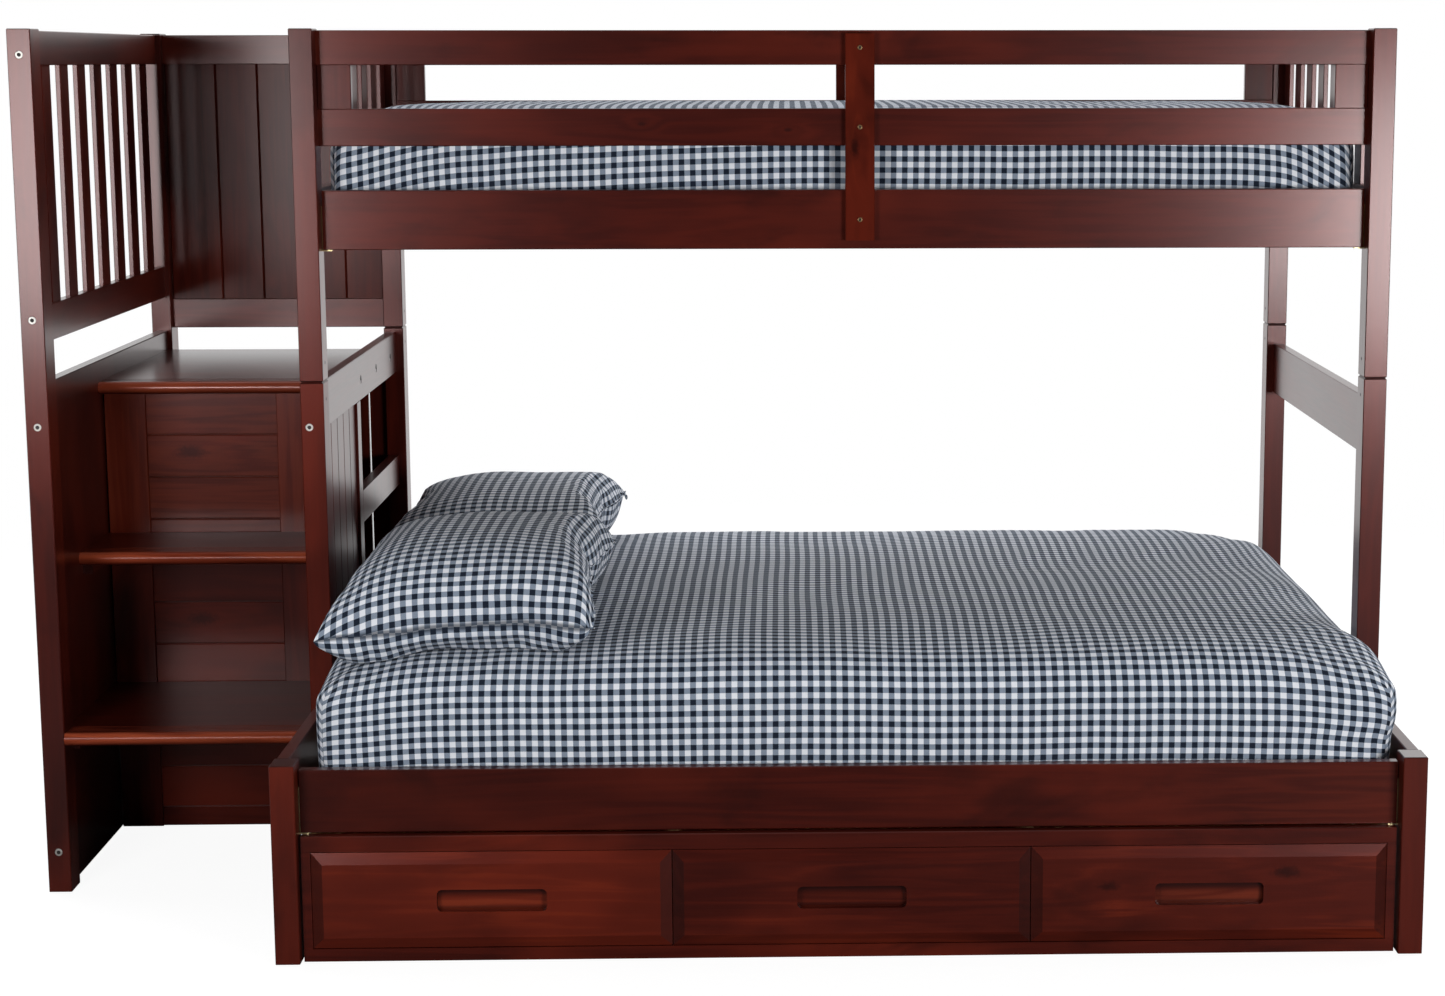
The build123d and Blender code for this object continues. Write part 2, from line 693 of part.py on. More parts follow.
head_sink = counterbore_depth - bolt_head_height
bolt_sets = (
    (stair_post_depth, [Location((stair_rail_middle, stair_front + head_sink, z), FRONT)
                        for z in guard_bolt_heights + panel_bolt_heights]),
    (post_depth, [Location((left_rail_middle, y_twin + head_sink, end_bolt_height), FRONT)]),
    (rail_thick, [Location((left_rail[1] - head_sink, y, landing_bolt_height), RIGHT)
                  for y in landing_bolts]),
)
with BuildPart() as bolts:
    for wood_thick, places in bolt_sets:
        run = bolt(wood_thick - counterbore_depth + bolt_reach)
        with Locations(places):
            add(run)
keep(bolts, "connector_bolts")

# Under-bed chest: face frame, carcass and wooden drawer runners
chest_left = inner_left + chest_side_gap
chest_right = inner_right - chest_side_gap
chest_front = y_front + chest_setback
frame_span = (chest_front + frame_recess, chest_front + frame_recess + frame_thick)
chest_rear = chest_front + chest_depth
frame_top_bottom = chest_height - frame_top_height
stile_heights = (frame_low_height + fit_gap, frame_top_bottom - fit_gap)
with BuildPart() as face_frame:
    plank((chest_left, chest_right), frame_span, (frame_top_bottom, chest_height))
    plank((chest_left, chest_right), frame_span, (0, frame_low_height))
    plank((chest_left, chest_left + frame_stile), frame_span, stile_heights)
    plank((chest_right - frame_stile, chest_right), frame_span, stile_heights)
    chamfer(face_frame.faces().sort_by(Axis.Z)[-1].edges().filter_by(Axis.X), edge_break)
keep(face_frame, "chest_face_frame")

carcass_span = (frame_span[1], chest_rear - chest_back_thick - fit_gap)
carcass_top = chest_height - carcass_drop
bays_left = chest_left + frame_stile
bay_pitch = (chest_right - chest_left - 2 * frame_stile) / drawer_count
upright_faces = [(chest_left, bays_left)]
for index in range(1, drawer_count):
    middle = bays_left + index * bay_pitch
    upright_faces.append((middle - carcass_thick / 2, middle + carcass_thick / 2))
upright_faces.append((chest_right - frame_stile, chest_right))
with BuildPart() as carcass:
    for face_pair in upright_faces:
        plank(face_pair, carcass_span, (0, carcass_top))
    plank((chest_left, chest_right), (chest_rear - chest_back_thick, chest_rear), (0, carcass_top))
keep(carcass, "chest_carcass")

runner_bottom = frame_low_height
runner_top = runner_bottom + runner_height
with BuildPart() as runners:
    for index in range(drawer_count):
        bay = (upright_faces[index][1], upright_faces[index + 1][0])
        plank((bay[0], bay[0] + runner_width), carcass_span, (runner_bottom, runner_top))
        plank((bay[1] - runner_width, bay[1]), carcass_span, (runner_bottom, runner_top))
keep(runners, "drawer_runners")

# Drawers: a bevelled front with a routed finger pull, and an open box behind it
front_heights = (frame_low_height + front_gap, frame_top_bottom - front_gap)
front_middle = sum(front_heights) / 2
front_height = front_heights[1] - front_heights[0]
box_front = chest_front + front_thick + fit_gap
box_rear = carcass_span[1] - box_rear_gap
box_bottom = runner_top + slide_gap
box_top = box_bottom + box_side_height
panel_low = box_bottom + box_bottom_lift
panel_high = panel_low + box_bottom_thick
for index, drawer_name in enumerate(("left", "middle", "right")):
    middle = bays_left + (index + 0.5) * bay_pitch
    front_width = bay_pitch - front_gap
    with BuildPart() as drawer_front:
        with BuildSketch(Plane((middle, chest_front + bevel_depth, front_middle), (1, 0, 0), (0, -1, 0))):
            Rectangle(front_width, front_height)
        extrude(amount=bevel_depth - front_thick)
        with BuildSketch(Plane((middle, chest_front + bevel_depth, front_middle), (1, 0, 0), (0, -1, 0))):
            Rectangle(front_width, front_height)
        with BuildSketch(Plane((middle, chest_front, front_middle), (1, 0, 0), (0, -1, 0))):
            Rectangle(front_width - 2 * bevel_width, front_height - 2 * bevel_width)
        loft(ruled=True)
        with BuildSketch(Plane((middle, chest_front, front_middle), (1, 0, 0), (0, -1, 0))):
            RectangleRounded(pull_width, pull_height, pull_radius)
        extrude(amount=-pull_depth, mode=Mode.SUBTRACT)
    keep(drawer_front, f"drawer_{drawer_name}_front")

    box_left = upright_faces[index][1] + box_side_gap
    box_right = upright_faces[index + 1][0] - box_side_gap
    inside = (box_left + box_side_thick, box_right - box_side_thick)
    with BuildPart() as drawer_box:
        plank((box_left, inside[0]), (box_front, box_rear), (box_bottom, box_top))
        plank((inside[1], box_right), (box_front, box_rear), (box_bottom, box_top))
        with Locations((sum(inside) / 2, (box_front + box_rear) / 2, (panel_low + panel_high) / 2)):
            Box(inside[1] - inside[0] + 2 * box_groove_depth, box_rear - box_front,
                box_bottom_thick + 2 * fit_gap, mode=Mode.SUBTRACT)
        plank((inside[0] + fit_gap, inside[1] - fit_gap), (box_rear - box_side_thick, box_rear),
              (panel_high + fit_gap, box_top))
        plank((inside[0] - box_groove_depth + fit_gap, inside[1] + box_groove_depth - fit_gap),
              (box_front + fit_gap, box_rear), (panel_low + fit_gap / 2, panel_high - fit_gap / 2))
    keep(drawer_box, f"drawer_{drawer_name}_box")


# Mattresses: rounded corners, sides that belly out and a crowned top
def mattress(name, length, width, thick, centre, bottom):
    """A mattress as a run of rounded sections: how high each lies and how far it is drawn in."""
    drawn_in = ((0, 0.06), (0.1, 0.012), (0.45, 0), (0.68, 0.03), (0.82, 0.11), (0.9, 0.24), (0.955, 0.52),
                (0.985, 0.95), (1, 1.6))
    with BuildPart() as piece:
        for height_share, inset_share in drawn_in:
            inset = 2 * inset_share * thick
            with BuildSketch(Plane((centre[0], centre[1], bottom + height_share * thick))):
                RectangleRounded(length - inset, width - inset, mattress_corner)
        loft(ruled=True)
    keep(piece, name)


upper_base = upper_cleat[1] + base_slat_thick + soft_gap
lower_base = lower_cleat[1] + base_slat_thick + soft_gap
mattress("upper_mattress", inner_right - inner_left - 2 * upper_mattress_end_gap,
         inner_rear - inner_front - 2 * mattress_side_gap, upper_mattress_thick,
         (x_middle, twin_middle), upper_base)
lower_mattress_span = (inner_left + lower_mattress_left_gap, inner_right - lower_mattress_right_gap)
mattress("lower_mattress", lower_mattress_span[1] - lower_mattress_span[0],
         inner_rear - lower_inner_front - 2 * mattress_side_gap, lower_mattress_thick,
         (sum(lower_mattress_span) / 2, beam_middle), lower_base)


# Pillows: sides drawn in between the four corners, crowned above and below the seam
def pillow_outline(size_share):
    """A four-cornered outline whose sides are drawn in, most at their middles."""
    side = pillow_width / 2 * size_share
    end = pillow_length / 2 * size_share
    draw = pillow_draw * size_share
    run = [2 * step / pillow_side_steps - 1 for step in range(pillow_side_steps)]
    right = [(side - draw * (1 - t * t), end * t) for t in run]
    far = [(-side * t, end - draw * (1 - t * t)) for t in run]
    return right + far + [(-x, -y) for x, y in right + far]


def pillow(name, centre, bottom, lean):
    """A leaning pillow as a run of rings, with flat faces between: how high each lies and how large it is."""
    shares = ((0, 0.6), (0.1, 0.86), (0.28, 1), (0.55, 0.92), (0.8, 0.74), (0.95, 0.48), (1, 0.22))
    rings = [
        [(centre[0] + x, centre[1] + y, bottom + height_share * pillow_thick + lean * y)
         for x, y in pillow_outline(size_share)]
        for height_share, size_share in shares
    ]
    faces = [Face(Wire.make_polygon(rings[0])), Face(Wire.make_polygon(rings[-1]))]
    for low, high in zip(rings, rings[1:]):
        for index in range(len(low)):
            faces.append(Face(Wire.make_polygon([low[index - 1], low[index], high[index], high[index - 1]])))
    with BuildPart() as piece:
        add(Solid(Shell(faces)))
    keep(piece, name)


pillow_bottom = lower_base + lower_mattress_thick + soft_gap
pillow_step = (pillow_length + pillow_gap) / 2
pillow("pillow_front", (x_left + pillow_offset, beam_middle - pillow_step), pillow_bottom, pillow_lean)
pillow("pillow_rear", (x_left + pillow_offset, beam_middle + pillow_step), pillow_bottom, -pillow_lean)
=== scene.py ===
import math
from collections import namedtuple

import bmesh
import bpy
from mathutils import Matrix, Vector, noise
from mathutils.bvhtree import BVHTree


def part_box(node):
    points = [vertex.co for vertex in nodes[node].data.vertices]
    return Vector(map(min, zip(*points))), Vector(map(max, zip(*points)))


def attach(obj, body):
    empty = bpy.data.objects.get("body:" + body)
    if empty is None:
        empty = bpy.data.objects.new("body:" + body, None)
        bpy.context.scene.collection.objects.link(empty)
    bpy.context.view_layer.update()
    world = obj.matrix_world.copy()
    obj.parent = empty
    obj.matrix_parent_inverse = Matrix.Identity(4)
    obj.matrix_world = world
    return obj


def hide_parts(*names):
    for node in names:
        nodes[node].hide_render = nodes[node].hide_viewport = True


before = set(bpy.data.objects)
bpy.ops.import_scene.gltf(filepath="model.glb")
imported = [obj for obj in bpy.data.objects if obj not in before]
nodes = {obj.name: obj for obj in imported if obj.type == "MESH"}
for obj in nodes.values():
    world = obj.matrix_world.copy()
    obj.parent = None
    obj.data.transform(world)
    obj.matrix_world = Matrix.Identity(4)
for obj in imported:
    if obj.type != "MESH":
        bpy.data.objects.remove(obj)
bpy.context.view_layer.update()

scene = bpy.context.scene


# Places on the frame, and new pieces


def corners(node):
    """The two far corners of a node's box."""
    low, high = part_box(node)
    return Vector(low), Vector(high)


def middle_of(node):
    low, high = corners(node)
    return (low + high) / 2


def new_piece(name, bm, *finishes):
    """An object made of a finished mesh, with its finishes."""
    mesh = bpy.data.meshes.new(name)
    bm.to_mesh(mesh)
    bm.free()
    piece = bpy.data.objects.new(name, mesh)
    scene.collection.objects.link(piece)
    for finish in finishes:
        mesh.materials.append(finish)
    return piece


# Shader arithmetic


class Flow:
    """One shader socket that takes part in ordinary arithmetic."""

    def __init__(self, graph, socket):
        self.graph = graph
        self.socket = socket

    def work(self, kind, first, second):
        return self.graph.add("ShaderNodeMath", {"operation": kind}, {0: first, 1: second})

    def __add__(self, other):
        return self.work("ADD", self, other)

    def __radd__(self, other):
        return self.work("ADD", other, self)

    def __sub__(self, other):
        return self.work("SUBTRACT", self, other)

    def __rsub__(self, other):
        return self.work("SUBTRACT", other, self)

    def __mul__(self, other):
        return self.work("MULTIPLY", self, other)

    def __rmul__(self, other):
        return self.work("MULTIPLY", other, self)

    def __truediv__(self, other):
        return self.work("DIVIDE", self, other)

    def __rtruediv__(self, other):
        return self.work("DIVIDE", other, self)

    def __pow__(self, other):
        return self.work("POWER", self, other)

    def __rpow__(self, other):
        return self.work("POWER", other, self)

    def __mod__(self, other):
        return self.work("FLOORED_MODULO", self, other)

    def __rmod__(self, other):
        return self.work("FLOORED_MODULO", other, self)


class Graph:
    """The node tree of one finish."""

    def __init__(self, tree):
        self.tree = tree
        self.tree.nodes.clear()

    def add(self, kind, settings, sockets, output=0):
        """One node, from its type, its settings, the values or links of its sockets and the output used."""
        node = self.tree.nodes.new(kind)
        for key, value in settings.items():
            setattr(node, key, value)
        for key, value in sockets.items():
            if isinstance(value, Flow):
                self.tree.links.new(value.socket, node.inputs[key])
            else:
                node.inputs[key].default_value = value
        return Flow(self, node.outputs[output] if node.outputs else None)

    def place(self, output="Object"):
        return self.add("ShaderNodeTexCoord", {}, {}, output)

    def light_path(self, output):
        return self.add("ShaderNodeLightPath", {}, {}, output)

    def scaled(self, vector, factors):
        return self.add("ShaderNodeVectorMath", {"operation": "MULTIPLY"}, {0: vector, 1: factors})

    def shifted(self, vector, other):
        return self.add("ShaderNodeVectorMath", {"operation": "ADD"}, {0: vector, 1: other})

    def length(self, vector):
        return self.add("ShaderNodeVectorMath", {"operation": "LENGTH"}, {0: vector}, "Value")

    def part(self, vector, axis):
        return self.add("ShaderNodeSeparateXYZ", {}, {0: vector}, "XYZ".index(axis))

    def joined(self, x, y, z):
        return self.add("ShaderNodeCombineXYZ", {}, {0: x, 1: y, 2: z})

    def alone(self, kind, value):
        """Arithmetic on one value, such as its sine."""
        return self.add("ShaderNodeMath", {"operation": kind}, {0: value})

    def wave(self, angle):
        """A sine that runs between 0 and 1."""
        return self.alone("SINE", angle) * 0.5 + 0.5

    def noise(self, vector, detail=3.0, roughness=0.55, distortion=0.0):
        sockets = {"Scale": 1.0, "Detail": detail, "Roughness": roughness, "Distortion": distortion}
        return self.add("ShaderNodeTexNoise", {}, {"Vector": vector, **sockets})

    def speckle(self, vector, fineness, detail):
        """Noise of the same fineness every way."""
        return self.noise(self.scaled(vector, (fineness, fineness, fineness)), detail)

    def step(self, value, low, high):
        """A smooth rise from 0 to 1 between two values, or a fall where the first is the higher."""
        settings = {"interpolation_type": "SMOOTHSTEP"}
        return self.add("ShaderNodeMapRange", settings, {0: value, 1: low, 2: high, 3: 0.0, 4: 1.0})

    def blend(self, factor, first, second):
        """A mix of two colours."""
        return self.add("ShaderNodeMix", {"data_type": "RGBA"}, {0: factor, 6: first, 7: second}, 2)

    def either(self, factor, first, second):
        """A mix of two vectors."""
        return self.add("ShaderNodeMix", {"data_type": "VECTOR"}, {0: factor, 4: first, 5: second}, 1)

    def bump(self, height, strength, distance):
        return self.add("ShaderNodeBump", {}, {"Strength": strength, "Distance": distance, "Height": height})

    def surface(self, sockets):
        shader = self.add("ShaderNodeBsdfPrincipled", {}, sockets)
        self.add("ShaderNodeOutputMaterial", {}, {"Surface": shader})


def finish_graph(name):
    material = bpy.data.materials.new(name)
    material.use_nodes = True
    return material, Graph(material.node_tree)


def rgb(red, green, blue):
    return (red, green, blue, 1.0)


# Pine

# The stain, from where it has sunk in to where it is thinnest; the sunk colour also paints shade, and the
# thinnest one also paints light and highlights
SUNK_STAIN_AND_SHADE = rgb(0.012, 0.0020, 0.0014)
DEEP_STAIN = rgb(0.026, 0.0030, 0.0018)
MID_STAIN = rgb(0.060, 0.0066, 0.0032)
WARM_STAIN = rgb(0.108, 0.0120, 0.0048)
FLAME_STAIN = rgb(0.19, 0.024, 0.007)
THIN_STAIN_AND_LIGHT = rgb(0.36, 0.068, 0.026)

# The gloss of the lacquer, and clear pine in its late and its early rings
RED_GLOSS = rgb(1.0, 0.34, 0.32)
LATE_PINE = rgb(0.43, 0.25, 0.115)
EARLY_PINE = rgb(0.6, 0.41, 0.22)

# The figure of the grain: how close the rings lie, and how knots and boards change them
STAINED_RINGS = 46.0
CLEAR_RINGS = 40.0
KNOT_BEND = 7.0
BOARD_JUMP = (1.7, 2.3, 3.1)

# A knot, in sizes of its own: its length, its ragged edge, and where its core and sweep start and are full
KNOT_LENGTH = 2.3
KNOT_RAG = 0.7
KNOT_CORE = (1.25, 0.5)
KNOT_SWEEP = (4.5, 0.3)

# How dark the stain is in knots and in end grain, and how far a face leans until it is all end grain
KNOT_DARK = 0.8
END_GRAIN_DARK = 0.75
END_GRAIN_LEAN = (0.12, 0.5)

# The stair: two treads and the landing climb by equal steps
STEPS = 3
TREAD_RISE = corners("stair_landing")[1].z / STEPS
TREAD_FRONT = corners("stair_treads")[0].y
TREAD_GOING = (corners("stair_landing")[0].y - TREAD_FRONT) / (STEPS - 1)
GROOVES = 4
GROOVE_START = 0.024
GROOVE_PITCH = 0.010

# Where the colour starts to lighten and is lightest: from the front of a nosing, and in pitches from a
# groove.
# The nosing takes thinner stain and a painted highlight; the grooves take a painted highlight of the strength
# given
NOSING = (0.022, 0.004)
GROOVE_WIDTH = (0.30, 0.18)
GROOVE_HIGHLIGHT = 0.2

# The drawer chest: the finger pulls of its drawers, and its lacquer
PULL_DEPTH = 0.012
PULL_FLOOR = corners("drawer_left_front")[0].y + PULL_DEPTH
PULL_BOTTOM = 0.094
PULL_TOP = 0.128
CHEST_LACQUER = 0.36

Boards = namedtuple("Boards", "across start pitch")
RISER_ROW = Boards(across="Z", start=0.905, pitch=0.086)
BACK_ROW = Boards(across="X", start=-1.14, pitch=0.091)
END_PANEL_ROW = Boards(across="Y", start=-0.273, pitch=0.069)

Knot = namedtuple("Knot", "x z size")
RIGHT_DRAWER_KNOTS = (Knot(x=0.708, z=0.127, size=0.014), Knot(x=1.022, z=0.150, size=0.017))
GUARD_RAIL_KNOTS = (Knot(x=-0.119, z=1.449, size=0.006), Knot(x=0.149, z=1.438, size=0.006))
BRACE_KNOTS = (Knot(x=0.272, z=1.405, size=0.012),)
RISER_KNOTS = (Knot(x=-1.06, z=0.785, size=0.021), Knot(x=-1.05, z=0.44, size=0.022))


def stretch(axis, along, across):
    return tuple(along if letter == axis else across for letter in "XYZ")


def streaks(graph, place, axis, along, across, **kind):
    """Noise drawn out along the grain, with its fineness along the grain and across it."""
    return graph.noise(graph.scaled(place, stretch(axis, along, across)), **kind)


def board_place(graph, boards):
    """Where a point lies in its own board: each board of a panel gets a grain of its own."""
    place = graph.place()
    if boards is None:
        return place
    number = graph.alone("FLOOR", (graph.part(place, boards.across) - boards.start) / boards.pitch)
    return graph.shifted(place, graph.joined(*(number * jump for jump in BOARD_JUMP)))


def knot_marks(graph, knots, axis):
    """Dark knots at chosen places on a front, and the sweep of the grain round them."""
    place = graph.place()
    long_way, short_way = ("X", "Z") if axis == "X" else ("Z", "X")
    core = 0.0
    sweep = 0.0
    for knot in knots:
        middle = {"X": knot.x, "Z": knot.z}
        along = (graph.part(place, long_way) - middle[long_way]) / (KNOT_LENGTH * knot.size)
        across = (graph.part(place, short_way) - middle[short_way]) / knot.size
        ragged = graph.speckle(place, 160.0, detail=2.0) * KNOT_RAG
        reach = (along * along + across * across) ** 0.5 + ragged
        core = graph.step(reach, *KNOT_CORE) + core
        sweep = graph.step(reach, *KNOT_SWEEP) + sweep
    return core, sweep


def end_grain(graph, axis):
    """How much a face cuts across the grain, where the stain sinks in."""
    lean = graph.part(graph.place("Normal"), axis)
    return graph.step(graph.alone("ABSOLUTE", lean), *END_GRAIN_LEAN)


def stained_pine(
        name, axis, boards=None, knots=(), thin_stain_and_light=None, painted_shade=None, warm=0.6, even=0.0, deep=0.0, flame=0.0,
        blotch=0.7, lacquer=0.5, top_shine=0.0):
    """Dark cherry stain on pine under a satin lacquer.

    The grain runs along one axis, in one piece or in a row of boards, and sweeps round the knots. The stain
    is warm in patches or evenly, deep all over, flamed and blotched by the amounts given. Where functions
    say so, it is lighter, by thinner stain and by painted light and highlights, and darker by painted shade.
    The lacquer can shine more on level tops.
    """
    material, graph = finish_graph(name)
    place = board_place(graph, boards)
    knot, sweep = knot_marks(graph, knots, axis)
    slow = streaks(graph, place, axis, along=0.9, across=15.0, detail=4.0, distortion=0.4)
    fibre = streaks(graph, place, axis, along=6.0, across=380.0, detail=2.0, roughness=0.6)
    patch = streaks(graph, place, axis, along=2.2, across=6.0, roughness=0.5)
    cloud = streaks(graph, place, axis, along=3.0, across=7.0, detail=4.0, roughness=0.6, distortion=0.5)
    rings = graph.wave(slow * STAINED_RINGS + sweep * KNOT_BEND)
    figure = rings * 0.5 + fibre * 0.5
    tone = graph.blend(figure, DEEP_STAIN, MID_STAIN)
    tone = graph.blend(graph.step(patch, 0.42, 0.72) * warm + even, tone, WARM_STAIN)
    if flame:
        tone = graph.blend(graph.step(rings * 0.3 + patch, 0.68, 1.0) * flame, tone, FLAME_STAIN)
    tone = graph.blend(graph.step(cloud, 0.5, 0.72) * blotch, tone, SUNK_STAIN_AND_SHADE)
    if deep:
        tone = graph.blend(deep, tone, SUNK_STAIN_AND_SHADE)
    tone = graph.blend(end_grain(graph, axis) * END_GRAIN_DARK, tone, SUNK_STAIN_AND_SHADE)
    # Lighter where a function asks for it: by thinner stain, and on some pieces by painted light and painted
    # highlights
    if thin_stain_and_light:
        tone = graph.blend(thin_stain_and_light(graph), tone, graph.blend(figure, WARM_STAIN, THIN_STAIN_AND_LIGHT))
    # Painted shade, in the sunk colour, where a function asks for it
    if painted_shade:
        tone = graph.blend(painted_shade(graph), tone, SUNK_STAIN_AND_SHADE)
    if knots:
        tone = graph.blend(knot * KNOT_DARK, tone, SUNK_STAIN_AND_SHADE)
    coat = lacquer
    if top_shine:
        level_top = graph.step(graph.part(graph.place("Normal"), "Z"), 0.6, 0.95)
        coat = level_top * top_shine + lacquer
    graph.surface({
        "Base Color": tone,
        "Roughness": 0.27 + patch * 0.06 + fibre * 0.04,
        "Specular IOR Level": 0.6 * lacquer,
        "Specular Tint": RED_GLOSS,
        "Coat Weight": coat,
        "Coat Roughness": 0.2,
        "Normal": graph.bump(fibre * 0.4 + rings * 0.3, strength=0.1, distance=0.0005),
    })
    return material


def thin_stain_and_highlight_on_nosing(graph):
    """Lighter colour on the round front of the treads, by thinner stain and a painted highlight, and a
    painted highlight in their grooves; the treads stand back as they climb.
    """
    place = graph.place()
    front = (graph.part(place, "Z") - TREAD_RISE) * (TREAD_GOING / TREAD_RISE) + TREAD_FRONT
    behind = graph.part(place, "Y") - front
    row = (behind - GROOVE_START) / GROOVE_PITCH + 0.5
    off_middle = graph.alone("ABSOLUTE", row % 1.0 - 0.5)
    grooved = graph.step(row, 0.0, 0.2) * graph.step(row, GROOVES, GROOVES - 0.2)
    in_groove = graph.step(off_middle, *GROOVE_WIDTH) * grooved
    return graph.step(behind, *NOSING) + in_groove * GROOVE_HIGHLIGHT


def in_pull(graph):
    """The floor of a drawer's finger pull."""
    return graph.step(graph.part(graph.place(), "Y"), PULL_FLOOR - 0.0025, PULL_FLOOR - 0.0005)


def thin_stain_and_light_in_pull(strength):
    """The lower floor of a finger pull is lighter than the field round it: partly thinner stain, partly
    painted light.
    """

    def thin_stain_and_light(graph):
        low_down = graph.step(graph.part(graph.place(), "Z"), PULL_TOP - 0.004, PULL_BOTTOM + 0.012)
        return in_pull(graph) * low_down * strength

    return thin_stain_and_light


def painted_shade_in_pull(graph):
    """Painted shade under the upper lip of a finger pull, and along its lower edge."""
    height = graph.part(graph.place(), "Z")
    under = graph.step(height, PULL_TOP - 0.018, PULL_TOP - 0.002)
    along = graph.step(height, PULL_BOTTOM + 0.007, PULL_BOTTOM + 0.001)
    return in_pull(graph) * (under * 0.9 + along * 0.6)


def graded(axis, start, full, strength):
    """A change in the colour that grows along one axis, from where it starts to where it is full."""

    def amount(graph):
        return graph.step(graph.part(graph.place(), axis), start, full) * strength

    return amount


def stained_ends(graph):
    """The two outer ends of the drawer chest are stained like its front."""
    low, high = corners("chest_carcass")
    across = graph.part(graph.place(), "X")
    skin, soaked = 0.0012, 0.0004
    left = graph.step(across, low.x + skin, low.x + soaked)
    right = graph.step(across, high.x - skin, high.x - soaked)
    return left + right


def drawer_pine(side, pull, **stain):
    """The finish of one drawer front, and how much lighter its finger pull is, by thinner stain and by
    painted light.
    """
    return stained_pine(
        f"drawer_{side}_pine", "X", thin_stain_and_light=thin_stain_and_light_in_pull(pull), painted_shade=painted_shade_in_pull, lacquer=CHEST_LACQUER,
        **stain)


def plain_pine(name, axis, stained=None):
    """Clear pine for the inner parts; boards that stand across the others have a grain of their own."""
    material, graph = finish_graph(name)
    place = graph.place()
    crossing = end_grain(graph, axis)
    other = "Y" if axis == "X" else "X"

    def grain(along, across, **kind):
        ways = [graph.scaled(place, stretch(way, along, across)) for way in (axis, other)]
        return graph.noise(graph.either(crossing, *ways), **kind)

    slow = grain(along=0.9, across=14.0, detail=4.0, distortion=0.6)
    fibre = grain(along=6.0, across=380.0, detail=2.0, roughness=0.6)
    rings = graph.wave(slow * CLEAR_RINGS)
    tone = graph.blend(rings * 0.6 + fibre * 0.4, LATE_PINE, EARLY_PINE)
    if stained:
        dark = graph.blend(rings * 0.5 + fibre * 0.5, DEEP_STAIN, MID_STAIN)
        tone = graph.blend(stained(graph), tone, dark)
    graph.surface({
        "Base Color": tone,
        "Roughness": 0.55 + fibre * 0.15,
        "Normal": graph.bump(fibre * 0.5 + rings * 0.3, strength=0.2, distance=0.0008),
    })
    return material


# Cloth and metal

CHECK = 0.0206
THREAD = 0.0011


def gingham_cloth(name):
    """Woven check cloth: navy and white threads, and the mixed check where they cross, with a painted shadow
    along a seam.
    """
    material, graph = finish_graph(name)
    cloth = graph.place("UV")
    across = graph.part(cloth, "X")
    down = graph.part(cloth, "Y")
    ragged = graph.speckle(cloth, 900.0, detail=1.0) * 0.05 - 0.025

    def dyed(line):
        turn = (line / CHECK + ragged) % 1.0
        return graph.step(turn, 0.0, 0.035) * graph.step(turn, 0.53, 0.495)

    def thread(line):
        return graph.wave(line * (2.0 * math.pi / THREAD))

    warp = dyed(across)
    weft = dyed(down)
    over = graph.step(thread(across) - thread(down), -0.5, 0.5)
    mixed = warp * (0.36 + over * 0.28) + weft * (0.64 - over * 0.28)
    slub = graph.noise(graph.scaled(cloth, (60.0, 700.0, 1.0)), detail=2.0)
    worn = graph.speckle(cloth, 9.0, detail=3.0)
    white = graph.blend(worn, rgb(0.64, 0.66, 0.71), rgb(0.75, 0.765, 0.80))
    half = graph.blend(slub, rgb(0.150, 0.190, 0.255), rgb(0.195, 0.238, 0.305))
    navy = graph.blend(slub, rgb(0.006, 0.010, 0.020), rgb(0.012, 0.018, 0.032))
    tone = graph.blend(graph.step(mixed, 0.0, 0.5), white, half)
    tone = graph.blend(graph.step(mixed, 0.62, 0.9), tone, navy)
    # Painted shadow of the fold along the sewn seam of a case
    seam_shadow = graph.add("ShaderNodeAttribute", {"attribute_name": "seam_shadow"}, {}, "Fac")
    tone = graph.blend(graph.step(seam_shadow, 0.35, 0.85) * 0.75, tone, navy)
    graph.surface({
        "Base Color": tone,
        "Roughness": 0.8 + slub * 0.15,
        "Specular IOR Level": 0.12,
        "Sheen Weight": 0.04,
        "Sheen Roughness": 0.5,
        "Normal": graph.bump(thread(across) * thread(down) + slub * 0.4, strength=0.15, distance=0.0004),
    })
    return material


def turned_metal(name, dull, bright, roughness):
    """Plated metal with fine marks from the tool."""
    material, graph = finish_graph(name)
    place = graph.place()
    marks = graph.noise(graph.scaled(place, (900.0, 900.0, 2600.0)), detail=2.0)
    film = graph.speckle(place, 140.0, detail=3.0)
    graph.surface({
        "Base Color": graph.blend(film, dull, bright),
        "Metallic": 0.9 + film * 0.1,
        "Roughness": roughness + marks * 0.15,
        "Normal": graph.bump(marks, strength=0.12, distance=0.0003),
    })
    return material


def shadow_black(name):
    """Painted shade for the dark bottom of a socket or a screw hole."""
    material, graph = finish_graph(name)
    grit = graph.speckle(graph.place(), 700.0, detail=2.0)
    graph.surface({
        "Base Color": graph.blend(grit, rgb(0.006, 0.005, 0.005), rgb(0.02, 0.016, 0.015)),
        "Roughness": 0.7 + grit * 0.2,
    })
    return material


# Which piece has which finish

PINE = {axis: stained_pine("stained_pine_" + axis.lower(), axis) for axis in "XYZ"}
CLEAR = {axis: plain_pine("plain_pine_" + axis.lower(), axis) for axis in "XY"}
CLOTH = gingham_cloth("gingham_cloth")
STEEL = turned_metal("bolt_steel", rgb(0.16, 0.155, 0.15), rgb(0.34, 0.33, 0.32), roughness=0.4)
ZINC = turned_metal("yellow_zinc", rgb(0.7, 0.55, 0.27), rgb(0.92, 0.8, 0.48), roughness=0.34)
BRASS = turned_metal("screw_brass", rgb(0.15, 0.085, 0.04), rgb(0.28, 0.18, 0.09), roughness=0.45)
CAP = turned_metal("cap_steel", rgb(0.36, 0.35, 0.33), rgb(0.62, 0.6, 0.57), roughness=0.38)
SOCKET_SHADE = shadow_black("socket_shadow")

